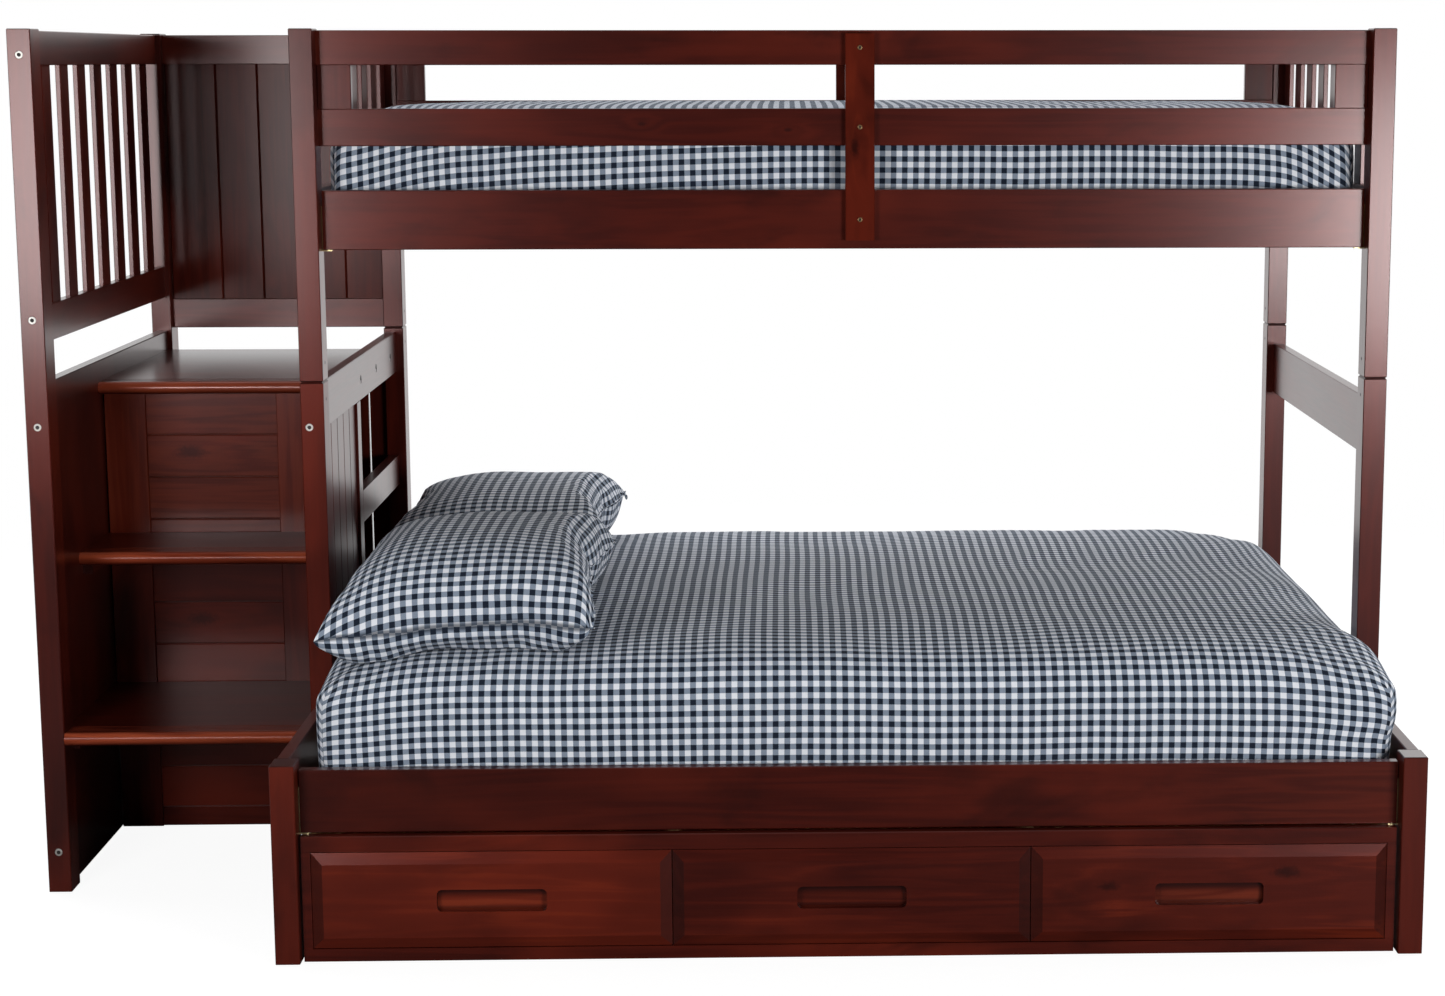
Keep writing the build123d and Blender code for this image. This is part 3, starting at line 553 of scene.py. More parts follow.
# The upper riser boards are lighter and redder towards the top; the low front rail has painted light towards
# its right and painted shade towards its left
RISER_STAIN = {"thin_stain_and_light": graded("Z", start=0.58, full=0.68, strength=0.22), "warm": 0.9, "lacquer": 0.34}
LOW_RAIL_LIGHT_AND_SHADE = {
    "thin_stain_and_light": graded("X", start=0.6, full=1.15, strength=0.045),
    "painted_shade": graded("X", start=0.3, full=-0.6, strength=0.45),
}

OWN_FINISH = {
    "stair_treads": stained_pine("tread_pine", "X", thin_stain_and_light=thin_stain_and_highlight_on_nosing, lacquer=0.17),
    "stair_landing": stained_pine("landing_pine", "X", thin_stain_and_light=thin_stain_and_highlight_on_nosing),
    "stair_back_boards": stained_pine("back_board_pine", "Z", boards=BACK_ROW, warm=0.7, lacquer=0.17),
    "stair_side_panel": stained_pine("side_panel_pine", "Z", deep=0.5),
    "riser_boards": stained_pine("riser_pine", "X", boards=RISER_ROW, knots=RISER_KNOTS, **RISER_STAIN),
    "riser_stiles": stained_pine("riser_stile_pine", "Z", **RISER_STAIN),
    "end_panel_boards": stained_pine("end_board_pine", "Z", boards=END_PANEL_ROW, lacquer=0.4),
    "drawer_left_front": drawer_pine("left", pull=0.2, warm=0.8, even=0.5, flame=0.35, blotch=0.3),
    "drawer_middle_front": drawer_pine("middle", pull=0.04, warm=0.9, flame=0.2, blotch=0.4),
    "drawer_right_front": drawer_pine(
        "right", pull=0.22, knots=RIGHT_DRAWER_KNOTS, warm=0.8, even=0.25, flame=0.6, blotch=0.45),
    "chest_face_frame": stained_pine("chest_frame_pine", "X", warm=1.0, lacquer=CHEST_LACQUER),
    "chest_carcass": plain_pine("chest_pine", "Y", stained=stained_ends),
    "lower_side_rails": stained_pine("lower_rail_pine", "X", lacquer=0.32, top_shine=0.5, **LOW_RAIL_LIGHT_AND_SHADE),
    "guard_mid_rails": stained_pine("guard_rail_pine", "X", knots=GUARD_RAIL_KNOTS),
    "centre_braces": stained_pine("brace_pine", "Z", knots=BRACE_KNOTS, even=0.75, flame=0.5, lacquer=0.18),
    "lower_post_front_left": stained_pine("left_post_pine", "Z", warm=0.8, even=0.3, lacquer=0.3),
    "short_posts": stained_pine("short_post_pine", "Z", warm=0.8, even=0.35, lacquer=0.4, top_shine=0.6),
    "rail_hook_plates": ZINC,
    "connector_bolts": STEEL,
    "post_pins": STEEL,
}
DRAWER_BOXES = [f"drawer_{side}_box" for side in ("left", "middle", "right")]
CLEAR_ALONG_X = ["slat_cleats", "lower_centre_beam"]
CLEAR_ALONG_Y = ["upper_bed_slats", "lower_bed_slats", "drawer_runners"] + DRAWER_BOXES
STAINED_ALONG_X = ["upper_side_rails", "guard_top_rails", "stair_back_rails"]
STAINED_ALONG_Y = [
    "upper_end_rails", "end_guard_rails", "lower_end_rails", "extension_rails", "cross_rails",
    "stair_guard_rails", "tread_cleats",
]


def finish_of(name):
    """A piece's own finish, or the pine with its way of grain, which is upright unless a list names it."""
    if name in OWN_FINISH:
        return OWN_FINISH[name]
    if name in CLEAR_ALONG_X:
        return CLEAR["X"]
    if name in CLEAR_ALONG_Y:
        return CLEAR["Y"]
    if name in STAINED_ALONG_X:
        return PINE["X"]
    if name in STAINED_ALONG_Y:
        return PINE["Y"]
    return PINE["Z"]


for name, piece in nodes.items():
    for holder in piece.material_slots:
        holder.material = finish_of(name)


# Covers and their stuffing

PRESSURE = 2.0


def stuff(piece, frames, cap, swell, held_below=-math.inf):
    """Blows the cover up as cloth for a few frames, and holds each point within a short way of its start."""
    mesh = piece.data
    start = [vertex.co.copy() for vertex in mesh.vertices]
    held = piece.vertex_groups.new(name="held")
    for vertex in mesh.vertices:
        held.add([vertex.index], 1.0 if vertex.co.z < held_below else 0.0, "REPLACE")
    cloth = piece.modifiers.new("cover", "CLOTH")
    settings = cloth.settings
    settings.quality = 6
    settings.mass = 0.25
    settings.tension_stiffness = 25.0
    settings.compression_stiffness = 20.0
    settings.shear_stiffness = 12.0
    settings.bending_stiffness = 0.4
    settings.use_pressure = True
    settings.uniform_pressure_force = PRESSURE
    settings.shrink_min = -swell
    settings.vertex_group_mass = "held"
    settings.pin_stiffness = 0.6
    settings.effector_weights.gravity = 0.0
    cloth.collision_settings.use_collision = False
    cloth.point_cache.frame_start = 1
    cloth.point_cache.frame_end = frames
    for number in range(1, frames + 1):
        scene.frame_set(number)
    shape = piece.evaluated_get(bpy.context.evaluated_depsgraph_get()).to_mesh()
    ended = [vertex.co.copy() for vertex in shape.vertices]
    piece.modifiers.remove(cloth)
    piece.vertex_groups.remove(held)
    for vertex, before, after in zip(mesh.vertices, start, ended):
        move = after - before
        vertex.co = before + move * (cap / max(cap, move.length))
    scene.frame_set(1)


def within(value, low, high, ease):
    """A value kept inside two limits, easing up to each of them."""
    middle = (low + high) / 2
    half = (high - low) / 2
    offset = abs(value - middle)
    edge = half - ease
    if offset > edge:
        offset = edge + ease * math.tanh((offset - edge) / ease)
    return middle + math.copysign(offset, value - middle)


def fit_inside(piece, low, high, ease):
    for vertex in piece.data.vertices:
        vertex.co = Vector(within(value, a, b, ease) for value, a, b in zip(vertex.co, low, high))


def round_out(piece):
    """Smooth shading and one level of subdivision."""
    for face in piece.data.polygons:
        face.use_smooth = True
    subdivision = piece.modifiers.new("fine", "SUBSURF")
    subdivision.levels = 1
    subdivision.render_levels = 1


def wander(x, y, z):
    """Smooth noise at a place."""
    return noise.noise(Vector((x, y, z)))


def ramp(value, low, high):
    """A smooth rise from 0 to 1 between two values."""
    part = min(1.0, max(0.0, (value - low) / (high - low)))
    return part * part * (3 - 2 * part)


def running(points, start):
    """Lengths along a row of points, measured from one of them."""
    lengths = [0.0] * len(points)
    for step in range(start + 1, len(points)):
        lengths[step] = lengths[step - 1] + (points[step] - points[step - 1]).length
    for step in range(start - 1, -1, -1):
        lengths[step] = lengths[step + 1] - (points[step] - points[step + 1]).length
    return lengths


def turned_over(rows):
    return [list(row) for row in zip(*rows)]


def lay_faces(bm, sheet, rows, flipped, cloth_spot):
    """Faces between rows of points, with the place of every corner on the cloth."""
    for i in range(len(rows) - 1):
        for j in range(len(rows[0]) - 1):
            ends = [(i, j), (i + 1, j), (i + 1, j + 1), (i, j + 1)]
            if flipped:
                ends.reverse()
            face = bm.faces.new([rows[a][b] for a, b in ends])
            for loop, (a, b) in zip(face.loops, ends):
                loop[sheet].uv = cloth_spot(a, b)


def bedding(piece, node):
    """Smooths a finished cover and sets it on the bed in place of its solid."""
    round_out(piece)
    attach(piece, "bed")
    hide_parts(node)


# Mattresses

# How finely a cover is divided, and how many lines go round each half of an edge
CELL = 0.026
EDGE_LINES = 5

# The soft top: how it falls to the sides, hangs at the corners and rolls, and how the sides are drawn in
TOP_FALL = 1.4
CORNER_SLACK = 0.034
CORNER_REACH = 0.13
ROLL = 0.011
ROLL_SINK = 0.4
WAIST_LONG = 0.003
WAIST_WIDE = 0.006

# How far the weave is tugged off its lines, across and down
TUG_ACROSS = 0.003
TUG_DOWN = 0.006

# The height over its underside up to which a mattress is held while it is stuffed
HELD_BASE = 0.03

# The lower mattress swells out to the low rail and over it: how far, and where that starts and is full
SWELL_TO_RAIL = 0.014
SWELL_OVER_RAIL = 0.009
SWELL_UPWARD = (0.366, 0.405)
SWELL_TO_RIGHT = (0.95, 1.2)
SWELL_TO_FRONT = (0.37, 0.47)

# The lines of the lower cover stray; those of the upper one climb to the left and fall away at the right end
STRAY = 0.004
CLIMB_SLOPE = 0.075
CLIMB_START = -0.32
CLIMB_BEND = 0.09
FALL = 0.045
FALL_START = 0.82
FALL_REACH = 0.13
FALL_CURVE = 1.6

Hollow = namedtuple("Hollow", "x y wide long depth")
PILLOW_HOLLOWS = [Hollow(x=-0.43, y=side * 0.33, wide=0.24, long=0.30, depth=0.009) for side in (-1, 1)]


def spread(half, corner):
    """Grid lines across one side: close together round the corners, even between them."""
    flat = half - corner
    angles = [math.pi / 4 * step / EDGE_LINES for step in range(1, EDGE_LINES + 1)]
    bend = [flat + corner * math.tan(angle) for angle in angles]
    count = max(2, 2 * round(flat / CELL))
    even = [-flat + 2 * flat * step / count for step in range(count + 1)]
    return [-value for value in reversed(bend)] + even + bend


def rounded_plan(x, y, half, corner, turn):
    """Draws the upright corners of a rounded box in to a wider curve, seen from above."""
    off_x = abs(x) - half.x + turn
    off_y = abs(y) - half.y + turn
    if off_x <= 0 or off_y <= 0:
        return x, y
    length = math.hypot(off_x, off_y)
    lean_x, lean_y = off_x / length, off_y / length
    inner = turn - corner
    if max(lean_x, lean_y) * inner >= min(lean_x, lean_y) * turn:
        outline = turn / max(lean_x, lean_y)
    else:
        both = inner * (lean_x + lean_y)
        outline = both + math.sqrt(both * both - 2 * inner * inner + corner * corner)
    scale = turn / outline
    new_x = math.copysign(half.x - turn + off_x * scale, x)
    new_y = math.copysign(half.y - turn + off_y * scale, y)
    return new_x, new_y


def rolling(x, y, seed):
    """The slow rolls of a stuffed top, with smaller ones over them."""
    return wander(x * 2.6, y * 3.4, seed) + 0.5 * wander(x * 6.0, y * 7.0, seed + 4)


def hollow_depth(hollow, x, y):
    """How deep a hollow with a level bottom is at a place."""
    return hollow.depth * math.exp(-((x - hollow.x) / hollow.wide) ** 4 - ((y - hollow.y) / hollow.long) ** 4)


def mattress(name, low, high, corner, turn, drop, reach, hollows, drift, level, seed):
    """A stuffed box, soft at its edges; the check runs on from the top down every side.

    The edges are rounded by the corner radius, and the upright ones by the turn. The top drops to its edge
    over the reach. The drift lets the lines of the check stray along the bed, and the level evens the rows of
    checks on the sides.
    """
    half = (high - low) / 2
    centre = (high + low) / 2
    lines = [spread(size, corner) for size in half]
    flat = Vector(size - corner for size in half)
    found = {}
    bm = bmesh.new()
    sheet = bm.loops.layers.uv.new("cloth")

    def shaped(spot):
        core = Vector(max(-limit, min(limit, value)) for value, limit in zip(spot, flat))
        x, y, z = core + (Vector(spot) - core).normalized() * corner
        x, y = rounded_plan(x, y, half, corner, turn)
        upper = max(0.0, 0.5 + 0.5 * z / half.z) ** TOP_FALL
        full = (1 - math.exp((abs(x) - half.x) / reach)) * (1 - math.exp((abs(y) - half.y) / reach))
        roll = ROLL * (ROLL_SINK + rolling(x, y, seed))
        from_corner = (half.x - abs(x)) ** 2 + (half.y - abs(y)) ** 2
        slack = CORNER_SLACK * math.exp(-from_corner / CORNER_REACH ** 2)
        sunk = slack + sum(hollow_depth(hollow, x + centre.x, y + centre.y) for hollow in hollows)
        down = upper * (drop * (1 - full) + sunk + roll * full)
        waist = (z / half.z) ** 2
        return Vector((x * (1 - WAIST_LONG * waist), y * (1 - WAIST_WIDE * waist), z - down)) + centre

    def vertex(spot):
        key = tuple(round(value, 6) for value in spot)
        if key not in found:
            found[key] = bm.verts.new(shaped(spot))
        return found[key]

    def side_grid(side, sign):
        first, second = [axis for axis in range(3) if axis != side]
        rows = []
        for a in lines[first]:
            row = []
            for b in lines[second]:
                spot = [0.0, 0.0, 0.0]
                spot[side], spot[first], spot[second] = half[side] * sign, a, b
                row.append(vertex(spot))
            rows.append(row)
        return rows

    top = side_grid(2, 1.0)
    middle_x, middle_y = len(lines[0]) // 2, len(lines[1]) // 2
    top_v = [running([point.co for point in row], middle_y) for row in top]
    top_u = turned_over([running([point.co for point in row], middle_x) for row in turned_over(top)])

    def cloth_map(side, sign, rows):
        """The place of every point of one side on the cloth, in metres."""
        if side == 2 and sign > 0:
            return [list(zip(*pair)) for pair in zip(top_u, top_v)]
        if side == 2:
            return [[(point.co.x - centre.x, point.co.y - centre.y) for point in row] for row in rows]
        edge = 0 if sign < 0 else -1
        hangs = [running([point.co for point in row], len(row) - 1) for row in rows]
        deep = hangs[len(rows) // 2][0]
        spots = []
        for number, hang in enumerate(hangs):
            drawn = sign * (1 + level * (deep / hang[0] - 1))
            if side == 1:
                u, v = top_u[number][edge], top_v[number][edge]
                spots.append([(u, v - drawn * length) for length in hang])
            else:
                u, v = top_u[edge][number], top_v[edge][number]
                spots.append([(u - drawn * length, v) for length in hang])
        return spots

    def tugged(u, v):
        """A place on the cloth, tugged a little off its lines."""
        across = TUG_ACROSS * wander(u * 3.0, v * 3.0, seed)
        down = TUG_DOWN * wander(u * 2.2, v * 2.2, seed + 9)
        return u + across, v + down + drift(u)

    for side in range(3):
        for sign in (-1.0, 1.0):
            rows = side_grid(side, sign)
            spots = cloth_map(side, sign, rows)
            lay_faces(bm, sheet, rows, (sign > 0) == (side == 1), lambda a, b: tugged(*spots[a][b]))
    return new_piece(name, bm, CLOTH)


def stuffed_mattress(node, left_bulge, right_bulge, **form):
    """The cover of one mattress, which bulges past its solid at the two ends of the bed."""
    low, high = corners(node)
    low.x -= left_bulge
    high.x += right_bulge
    cover = mattress(node + "_cover", low, high, **form)
    stuff(cover, frames=12, cap=0.009, swell=0.008, held_below=low.z + HELD_BASE)
    fit_inside(cover, low, high, ease=0.006)
    return cover


def over_rail(spot):
    """How far the lower mattress swells out to the low rail at its front right corner, and over it."""
    swell = SWELL_TO_RAIL + SWELL_OVER_RAIL * ramp(spot.z, *SWELL_UPWARD)
    return swell * ramp(spot.x, *SWELL_TO_RIGHT) * ramp(-spot.y, *SWELL_TO_FRONT)


def lower_drift(run):
    """The lower cover lies almost straight."""
    return STRAY * math.sin(run * 2.3 + 0.6)


def upper_drift(run):
    """The upper cover was pulled on askew."""
    climb = CLIMB_SLOPE * CLIMB_BEND * math.log(1 + math.exp((CLIMB_START - run) / CLIMB_BEND))
    fall = FALL * max(0.0, (run - FALL_START) / FALL_REACH) ** FALL_CURVE
    return climb + fall


lower_cover = stuffed_mattress(
    "lower_mattress", left_bulge=0.010, right_bulge=0.002, corner=0.062, turn=0.064, drop=0.030, reach=0.15,
    hollows=PILLOW_HOLLOWS, drift=lower_drift, level=0.8, seed=2.0)
for vertex in lower_cover.data.vertices:
    vertex.co.x += over_rail(vertex.co)
bedding(lower_cover, "lower_mattress")

upper_cover = stuffed_mattress(
    "upper_mattress", left_bulge=0.003, right_bulge=0.003, corner=0.036, turn=0.038, drop=0.022, reach=0.12,
    hollows=(), drift=upper_drift, level=0.0, seed=9.0)
bedding(upper_cover, "upper_mattress")


# Pillows

# The grid of a case, and how close its lines lie towards the open end, the closed end and the sides
PILLOW_CELLS = 64
OPEN_PINCH = 2.2
CLOSED_PINCH = 1.2
SIDE_PINCH = 1.4

# The open end of the case has a flat hem; the hem starts at this share of the half length
HEM = 0.965
HEM_GAP = 0.0018
HEM_LOOSE = 0.010
HEM_LOOSER = 0.012

# How far the edges are tucked in between the corners, and how steeply the ends rise
OPEN_TUCK = 0.11
CLOSED_TUCK = 0.075
SIDE_TUCK = 0.055
OPEN_STEEP = 22
CLOSED_STEEP = 2.8

# The seam over the mattress, the depth under it, and the fine form of the stuffing
RIM_HEIGHT = 0.066
RIM_CLIMB = 0.012
UNDER_DEPTH = 0.085
UNDER_CURVE = 0.7
TOP_CURVE = 0.58
TOP_CROWN = 0.2
PUCKER = 0.004
LUMP = 0.05
SEAM_CREASE = 0.75

# Each case, and each of its two sheets, is cut from another place of the cloth
CASE_SHIFT = 0.003
SHEET_SHIFT = 0.005

# How the cases lie on the mattress, and how far they may leave the box of their solid
UNDER_GAP = 0.003
LYING_GAP = 0.002
SINK = Vector((0.0, 0.0, 0.08))
RISE = Vector((0.0, 0.0, 0.006))

ABOVE_ALL = 3.0
DOWN = Vector((0.0, 0.0, -1.0))


def surface_height(piece):
    """How high a finished piece reaches at a place, seen from above."""
    tree = BVHTree.FromObject(piece, bpy.context.evaluated_depsgraph_get())

    def height(x, y):
        hit = tree.ray_cast(Vector((x, y, ABOVE_ALL)), DOWN)[0]
        return hit.z if hit else 0.0

    return height


def pillow(name, low, high, rest, crest, lowest, seed):
    """Two sheets sewn round the edge and stuffed, lying on the mattress; the open end has a flat hem."""
    half = (high - low) / 2
    centre = (high + low) / 2
    bm = bmesh.new()
    sheet = bm.loops.layers.uv.new("cloth")
    crease = bm.edges.layers.float.new("crease_edge")
    seam_shadow = bm.verts.layers.float.new("seam_shadow")
    found = {}

    def line(step, pinch):
        """A place from -1 to 1, where the lines lie closer towards both ends."""
        part = 2 * step / PILLOW_CELLS - 1
        return math.copysign(1 - (1 - abs(part)) ** pinch, part)

    def shape(i, j, sign):
        a = line(i, OPEN_PINCH if 2 * i > PILLOW_CELLS else CLOSED_PINCH)
        b = line(j, SIDE_PINCH)
        inner = min(1.0, a / HEM) if a > 0 else a
        hem = max(0.0, (a - HEM) / (1 - HEM))
        tuck = OPEN_TUCK if a > 0 else CLOSED_TUCK
        x = centre.x + half.x * a * (1 - tuck * (1 - b * b) * abs(a))
        y = centre.y + half.y * b * (1 - SIDE_TUCK * (1 - a * a) * abs(b))
        steep = OPEN_STEEP if a > 0 else CLOSED_STEEP
        rounded = ((1 - abs(inner) ** steep) * (1 - b ** 4)) ** TOP_CURVE
        lift = rounded * (1 - TOP_CROWN + TOP_CROWN * (1 - inner * inner) * (1 - b * b))
        rim = max(rest(x, y), lowest) + RIM_HEIGHT + RIM_CLIMB * a
        pucker = PUCKER * wander(x * 26.0, y * 26.0, seed) * (1 - lift) * (1 - (a * b) ** 2)
        loose = HEM_LOOSE + HEM_LOOSER * max(0.0, b)
        fold = hem * loose * (wander(b * 6.5, seed, 1.0) + 0.6 * wander(b * 15.0, seed, 5.0))
        lump = LUMP * wander(a * 1.9, b * 1.9, seed)
        gap = HEM_GAP * hem
        if sign > 0:
            z = rim + (crest - rim) * lift * (1 + lump) + pucker + fold + gap
        else:
            z = max(rest(x, y) + UNDER_GAP, rim - UNDER_DEPTH * lift ** UNDER_CURVE + pucker + fold - gap)
        return Vector((x, y, z))

    def vertex(i, j, sign):
        sewn = i in (0, PILLOW_CELLS) or j in (0, PILLOW_CELLS)
        key = (i, j, 0 if sewn else sign)
        if key not in found:
            found[key] = bm.verts.new(shape(i, j, 1 if sewn else sign))
        return found[key]

    steps = range(PILLOW_CELLS + 1)
    middle = PILLOW_CELLS // 2
    for sign in (-1, 1):
        rows = [[vertex(i, j, sign) for j in steps] for i in steps]
        runs_v = [running([point.co for point in row], middle) for row in rows]
        runs_u = [running([point.co for point in column], middle) for column in turned_over(rows)]
        shift_u = CASE_SHIFT * seed + SHEET_SHIFT * sign
        shift_v = SHEET_SHIFT * sign
        lay_faces(bm, sheet, rows, sign < 0, lambda a, b: (runs_u[b][a] + shift_u, runs_v[a][b] + shift_v))
    seam = {point for key, point in found.items() if key[2] == 0}
    # The sewn points carry the painted shadow of the seam
    for point in seam:
        point[seam_shadow] = 1.0
    for edge in bm.edges:
        if edge.verts[0] in seam and edge.verts[1] in seam:
            edge[crease] = SEAM_CREASE
    return new_piece(name, bm, CLOTH)


def settle(piece, rest, gap):
    """Lifts every point of a piece clear of the surface it lies on."""
    for vertex in piece.data.vertices:
        vertex.co.z = max(vertex.co.z, rest(vertex.co.x, vertex.co.y) + gap)


def stuffed_pillow(node, rest, short, **form):
    """One pillow in its case, lying on a surface; the case ends short of its solid by the length given."""
    low, high = corners(node)
    high.x -= short
    case = pillow(node + "_case", low, high, rest, **form)
    stuff(case, frames=20, cap=0.015, swell=0.03)
    fit_inside(case, low - SINK, high + RISE, ease=0.01)
    settle(case, rest, LYING_GAP)
    bedding(case, node)


lying_on = surface_height(lower_cover)
stuffed_pillow("pillow_front", lying_on, short=0.0, crest=0.700, lowest=0.500, seed=3.0)
stuffed_pillow("pillow_rear", lying_on, short=0.024, crest=0.673, lowest=0.530, seed=7.0)


# Small fittings

FRONT = Vector((0.0, -1.0, 0.0))
REAR = Vector((0.0, 1.0, 0.0))
RIGHT = Vector((1.0, 0.0, 0.0))
LEFT = Vector((-1.0, 0.0, 0.0))

# Radius and height of each step, from the face outwards
SCREW_HEAD = ((0.0046, -0.0004), (0.0046, 0.0005), (0.0040, 0.0011), (0.0024, 0.0015), (0.0018, 0.0009))
BOLT_CAP = ((0.0069, -0.0002), (0.0069, 0.0002), (0.0064, 0.00045), (0.0037, 0.00045), (0.0033, 0.0001))
RAIL_BORE = ((0.0055, -0.0002), (0.0055, 0.0002), (0.0045, 0.0001))
LOCK_HOLE = ((0.0030, -0.0002), (0.0030, 0.00015), (0.0022, 0.0001))

# The first finish on the outer steps, the second, painted shade, in the socket
WITH_SOCKET_SHADE = (0, 0, 0, 1, 1)

STAIR_BOLT_HEIGHTS = (1.575, 1.092, 0.893, 0.078)
END_BOLT_ACROSS = -0.740
END_BOLT_HEIGHT = 0.893
CROSS_RAIL_THICK = 0.022
BORES = 3
BORE_START = 0.198
BORE_PITCH = 0.199
BORE_HEIGHT = 0.922
LOCK_FROM_JOINT = 0.034


def turned(bm, profile, sides, place, facing, finishes):
    """A small turned form that stands out from a face; a finish for each step, or the first one for all."""
    spin = facing.to_track_quat("Z", "Y")
    rings = []
    for radius, height in profile:
        ring = []
        for step in range(sides):
            turn = 2 * math.pi * step / sides
            spot = Vector((radius * math.cos(turn), radius * math.sin(turn), height))
            ring.append(bm.verts.new(spin @ spot + Vector(place)))
        rings.append(ring)
    for number, (lower, upper) in enumerate(zip(rings, rings[1:])):
        for step in range(sides):
            ahead = (step + 1) % sides
            face = bm.faces.new([lower[step], lower[ahead], upper[ahead], upper[step]])
            face.material_index = finishes[number] if finishes else 0
    bm.faces.new(rings[-1]).material_index = finishes[-1] if finishes else 0
    bm.faces.new(list(reversed(rings[0])))


def fittings(name, profile, sides, places, finishes, steps=()):
    """All the small fittings of one kind, as one piece on the bed."""
    bm = bmesh.new()
    for place, facing in places:
        turned(bm, profile, sides, place, facing, steps)
    piece = new_piece(name, bm, *finishes)
    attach(piece, "bed")


brace_low, brace_high = corners("centre_braces")
brace_screws = []
for y, facing in ((brace_low.y, FRONT), (brace_high.y, REAR)):
    for rail in ("guard_top_rails", "guard_mid_rails", "upper_side_rails"):
        brace_screws.append(((middle_of("centre_braces").x, y, middle_of(rail).z), facing))
fittings(
    "brace_screws", SCREW_HEAD, sides=20, places=brace_screws, finishes=(BRASS, SOCKET_SHADE),
    steps=WITH_SOCKET_SHADE)

stair_post_middle = middle_of("stair_post_front").x
stair_post_face = corners("stair_post_front")[0].y
bolt_caps = [((stair_post_middle, stair_post_face, z), FRONT) for z in STAIR_BOLT_HEIGHTS]
bolt_caps.append(((END_BOLT_ACROSS, corners("connector_bolts")[0].y, END_BOLT_HEIGHT), FRONT))
fittings(
    "bolt_caps", BOLT_CAP, sides=24, places=bolt_caps, finishes=(CAP, SOCKET_SHADE),
    steps=WITH_SOCKET_SHADE)

# The bores in the cross rail are flat discs of painted shade
rail_face = corners("cross_rails")[0].x + CROSS_RAIL_THICK
bore_places = [BORE_START + number * BORE_PITCH for number in range(BORES)]
rail_bore_shades = [((rail_face, y, BORE_HEIGHT), RIGHT) for y in bore_places]
fittings("rail_bore_shades", RAIL_BORE, sides=20, places=rail_bore_shades, finishes=(SOCKET_SHADE,))

post_joint = corners("lower_post_front_left")[1].z
left_post_face = corners("lower_post_front_left")[1].x
right_post_face = corners("lower_post_front_right")[0].x
# The lock holes in the posts are flat discs of painted shade
lock_hole_shades = []
for post in ("lower_post_front_left", "lower_post_rear_left"):
    y = middle_of(post).y
    for z in (post_joint - LOCK_FROM_JOINT, post_joint + LOCK_FROM_JOINT):
        lock_hole_shades += [((left_post_face, y, z), RIGHT), ((right_post_face, y, z), LEFT)]
fittings("lock_hole_shades", LOCK_HOLE, sides=16, places=lock_hole_shades, finishes=(SOCKET_SHADE,))


# Camera, light and floor

PHOTO_WIDE = 1445.0
FOCAL_PIXELS = 2621.85
SENSOR = 36.0
EYE_PLACE = (0.1562, -5.163, 1.566)
EYE_DOWN = 8.91
EYE_ROLL = 0.03
EYE_TURN = -1.61

eye = bpy.data.cameras.new("eye")
eye.sensor_width = SENSOR
eye.lens = FOCAL_PIXELS / PHOTO_WIDE * SENSOR
eye.shift_x = -0.0995
eye.shift_y = -0.0191
camera = bpy.data.objects.new("camera", eye)
camera.location = EYE_PLACE
camera.rotation_euler = [math.radians(angle) for angle in (90 - EYE_DOWN, EYE_ROLL, EYE_TURN)]
scene.collection.objects.link(camera)
scene.camera = camera


def softbox(name, place, aim, wide, tall, power):
    """A lit rectangle that faces a place."""
    lamp = bpy.data.lights.new(name, "AREA")
    lamp.shape = "RECTANGLE"
    lamp.size = wide
    lamp.size_y = tall
    lamp.energy = power
    stand = bpy.data.objects.new(name, lamp)
    stand.location = place
    stand.rotation_euler = (Vector(aim) - Vector(place)).to_track_quat("-Z", "Y").to_euler()
    scene.collection.objects.link(stand)


softbox("left_box", (-1.815, -3.06, 1.263), aim=(0.0, 0.0, 0.9), wide=0.91, tall=0.95, power=46.0)
softbox("right_box", (2.63, -4.05, 1.035), aim=(0.3, 0.0, 0.9), wide=1.38, tall=0.86, power=115.0)
softbox("top_box", (0.2, -2.2, 4.4), aim=(0.1, -0.1, 0.5), wide=3.4, tall=2.2, power=16.0)

DIM_FRONT = rgb(0.03, 0.03, 0.031)
BRIGHT_BACK = rgb(2.15, 2.16, 2.2)
WHITE = rgb(1, 1, 1)


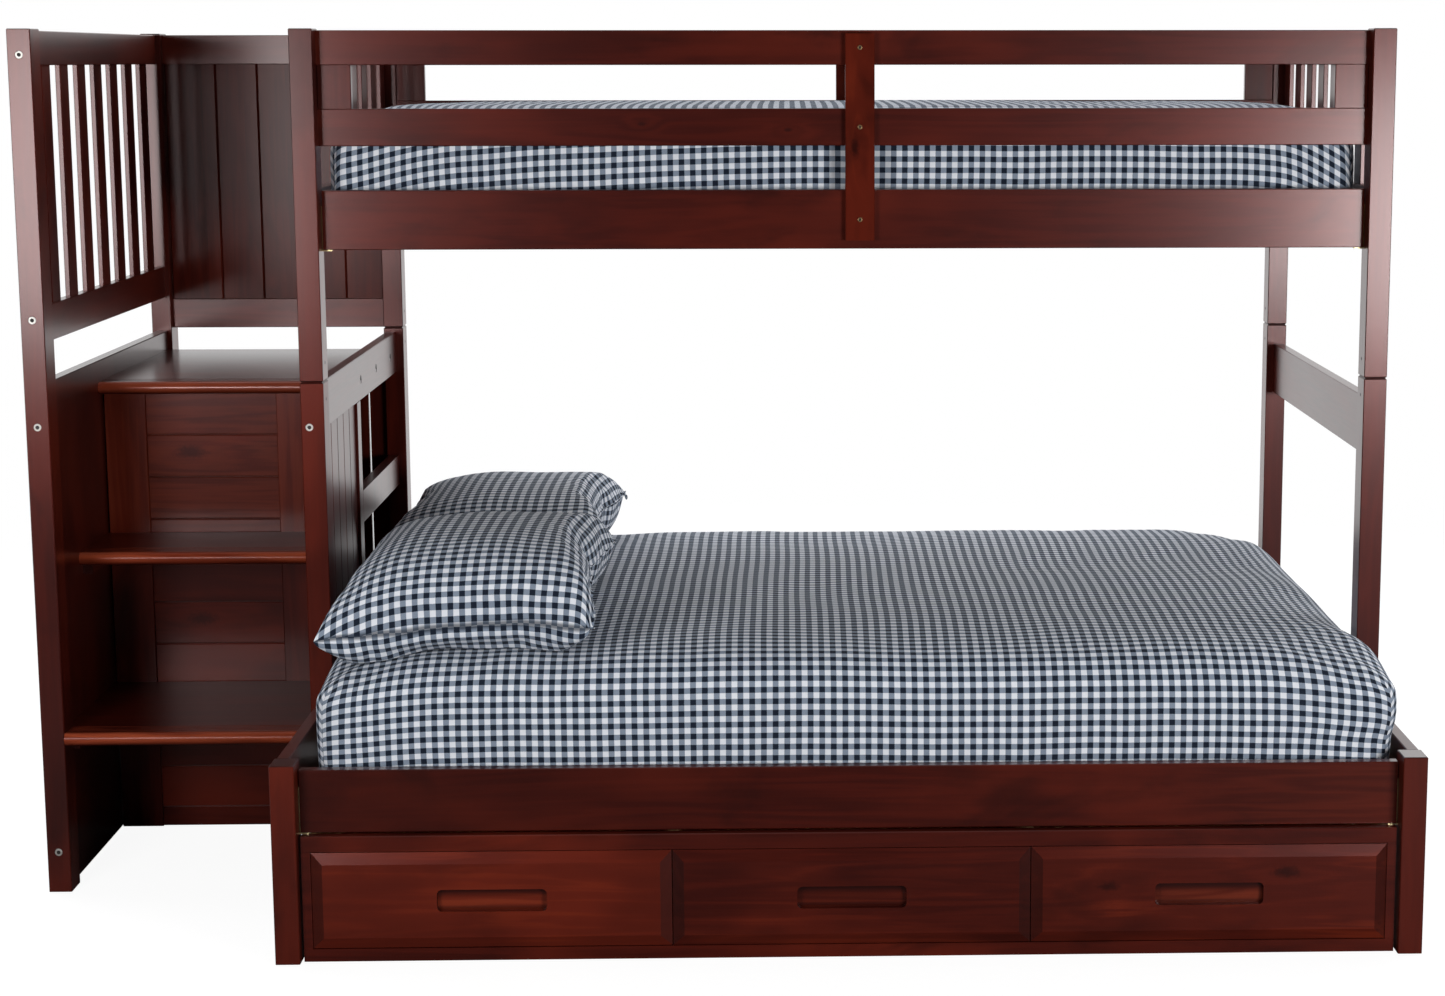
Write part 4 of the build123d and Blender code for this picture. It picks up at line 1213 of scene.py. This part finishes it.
def studio_room():
    """White to the camera and in reflections of the back; its light is dim in front and bright behind."""
    world = bpy.data.worlds.new("studio")
    world.use_nodes = True
    scene.world = world
    sky = Graph(world.node_tree)
    behind = sky.step(sky.part(sky.place("Generated"), "Y"), -0.1, 0.5)
    mirrored = (sky.light_path("Is Glossy Ray") + sky.light_path("Is Transmission Ray")) * behind
    lit = sky.blend(behind, DIM_FRONT, BRIGHT_BACK)
    seen = sky.blend(sky.light_path("Is Camera Ray") + mirrored, lit, WHITE)
    air = sky.add("ShaderNodeBackground", {}, {"Color": seen})
    sky.add("ShaderNodeOutputWorld", {}, {"Surface": air})


studio_room()

FLOOR_RINGS = (1.5, 3.0, 4.5)
FLOOR_SIDES = 48
FLOOR_DROP = 0.0005
FADE_START = 2.2
FADE_END = 4.2


def floor_finish():
    """Matt floor that looks pale to the camera and fades out into the white of the room."""
    material, graph = finish_graph("studio_floor")
    place = graph.place()
    speck = graph.speckle(place, 30.0, detail=3.0)
    looked_at = graph.light_path("Is Camera Ray")
    graph.surface({
        "Base Color": graph.blend(speck, rgb(0.10, 0.10, 0.10), rgb(0.11, 0.11, 0.11)),
        "Roughness": 0.75 + speck * 0.1,
        "Alpha": graph.step(graph.length(place), FADE_END, FADE_START),
        "Emission Color": graph.blend(looked_at, rgb(0, 0, 0), rgb(0.93, 0.93, 0.93)),
        "Emission Strength": 1.0,
    })
    return material


def studio_floor():
    """A round floor, just under the feet of the bed."""
    bm = bmesh.new()
    centre = bm.verts.new((0.0, 0.0, 0.0))
    turns = [2 * math.pi * side / FLOOR_SIDES for side in range(FLOOR_SIDES)]
    rings = []
    for radius in FLOOR_RINGS:
        spots = [(radius * math.cos(turn), radius * math.sin(turn), 0.0) for turn in turns]
        rings.append([bm.verts.new(spot) for spot in spots])
    for side in range(FLOOR_SIDES):
        ahead = (side + 1) % FLOOR_SIDES
        bm.faces.new([centre, rings[0][side], rings[0][ahead]])
        for inner, outer in zip(rings, rings[1:]):
            bm.faces.new([inner[side], outer[side], outer[ahead], inner[ahead]])
    floor = new_piece("studio_floor", bm, floor_finish())
    floor.location.z = -FLOOR_DROP


studio_floor()

scene.view_settings.view_transform = "Standard"
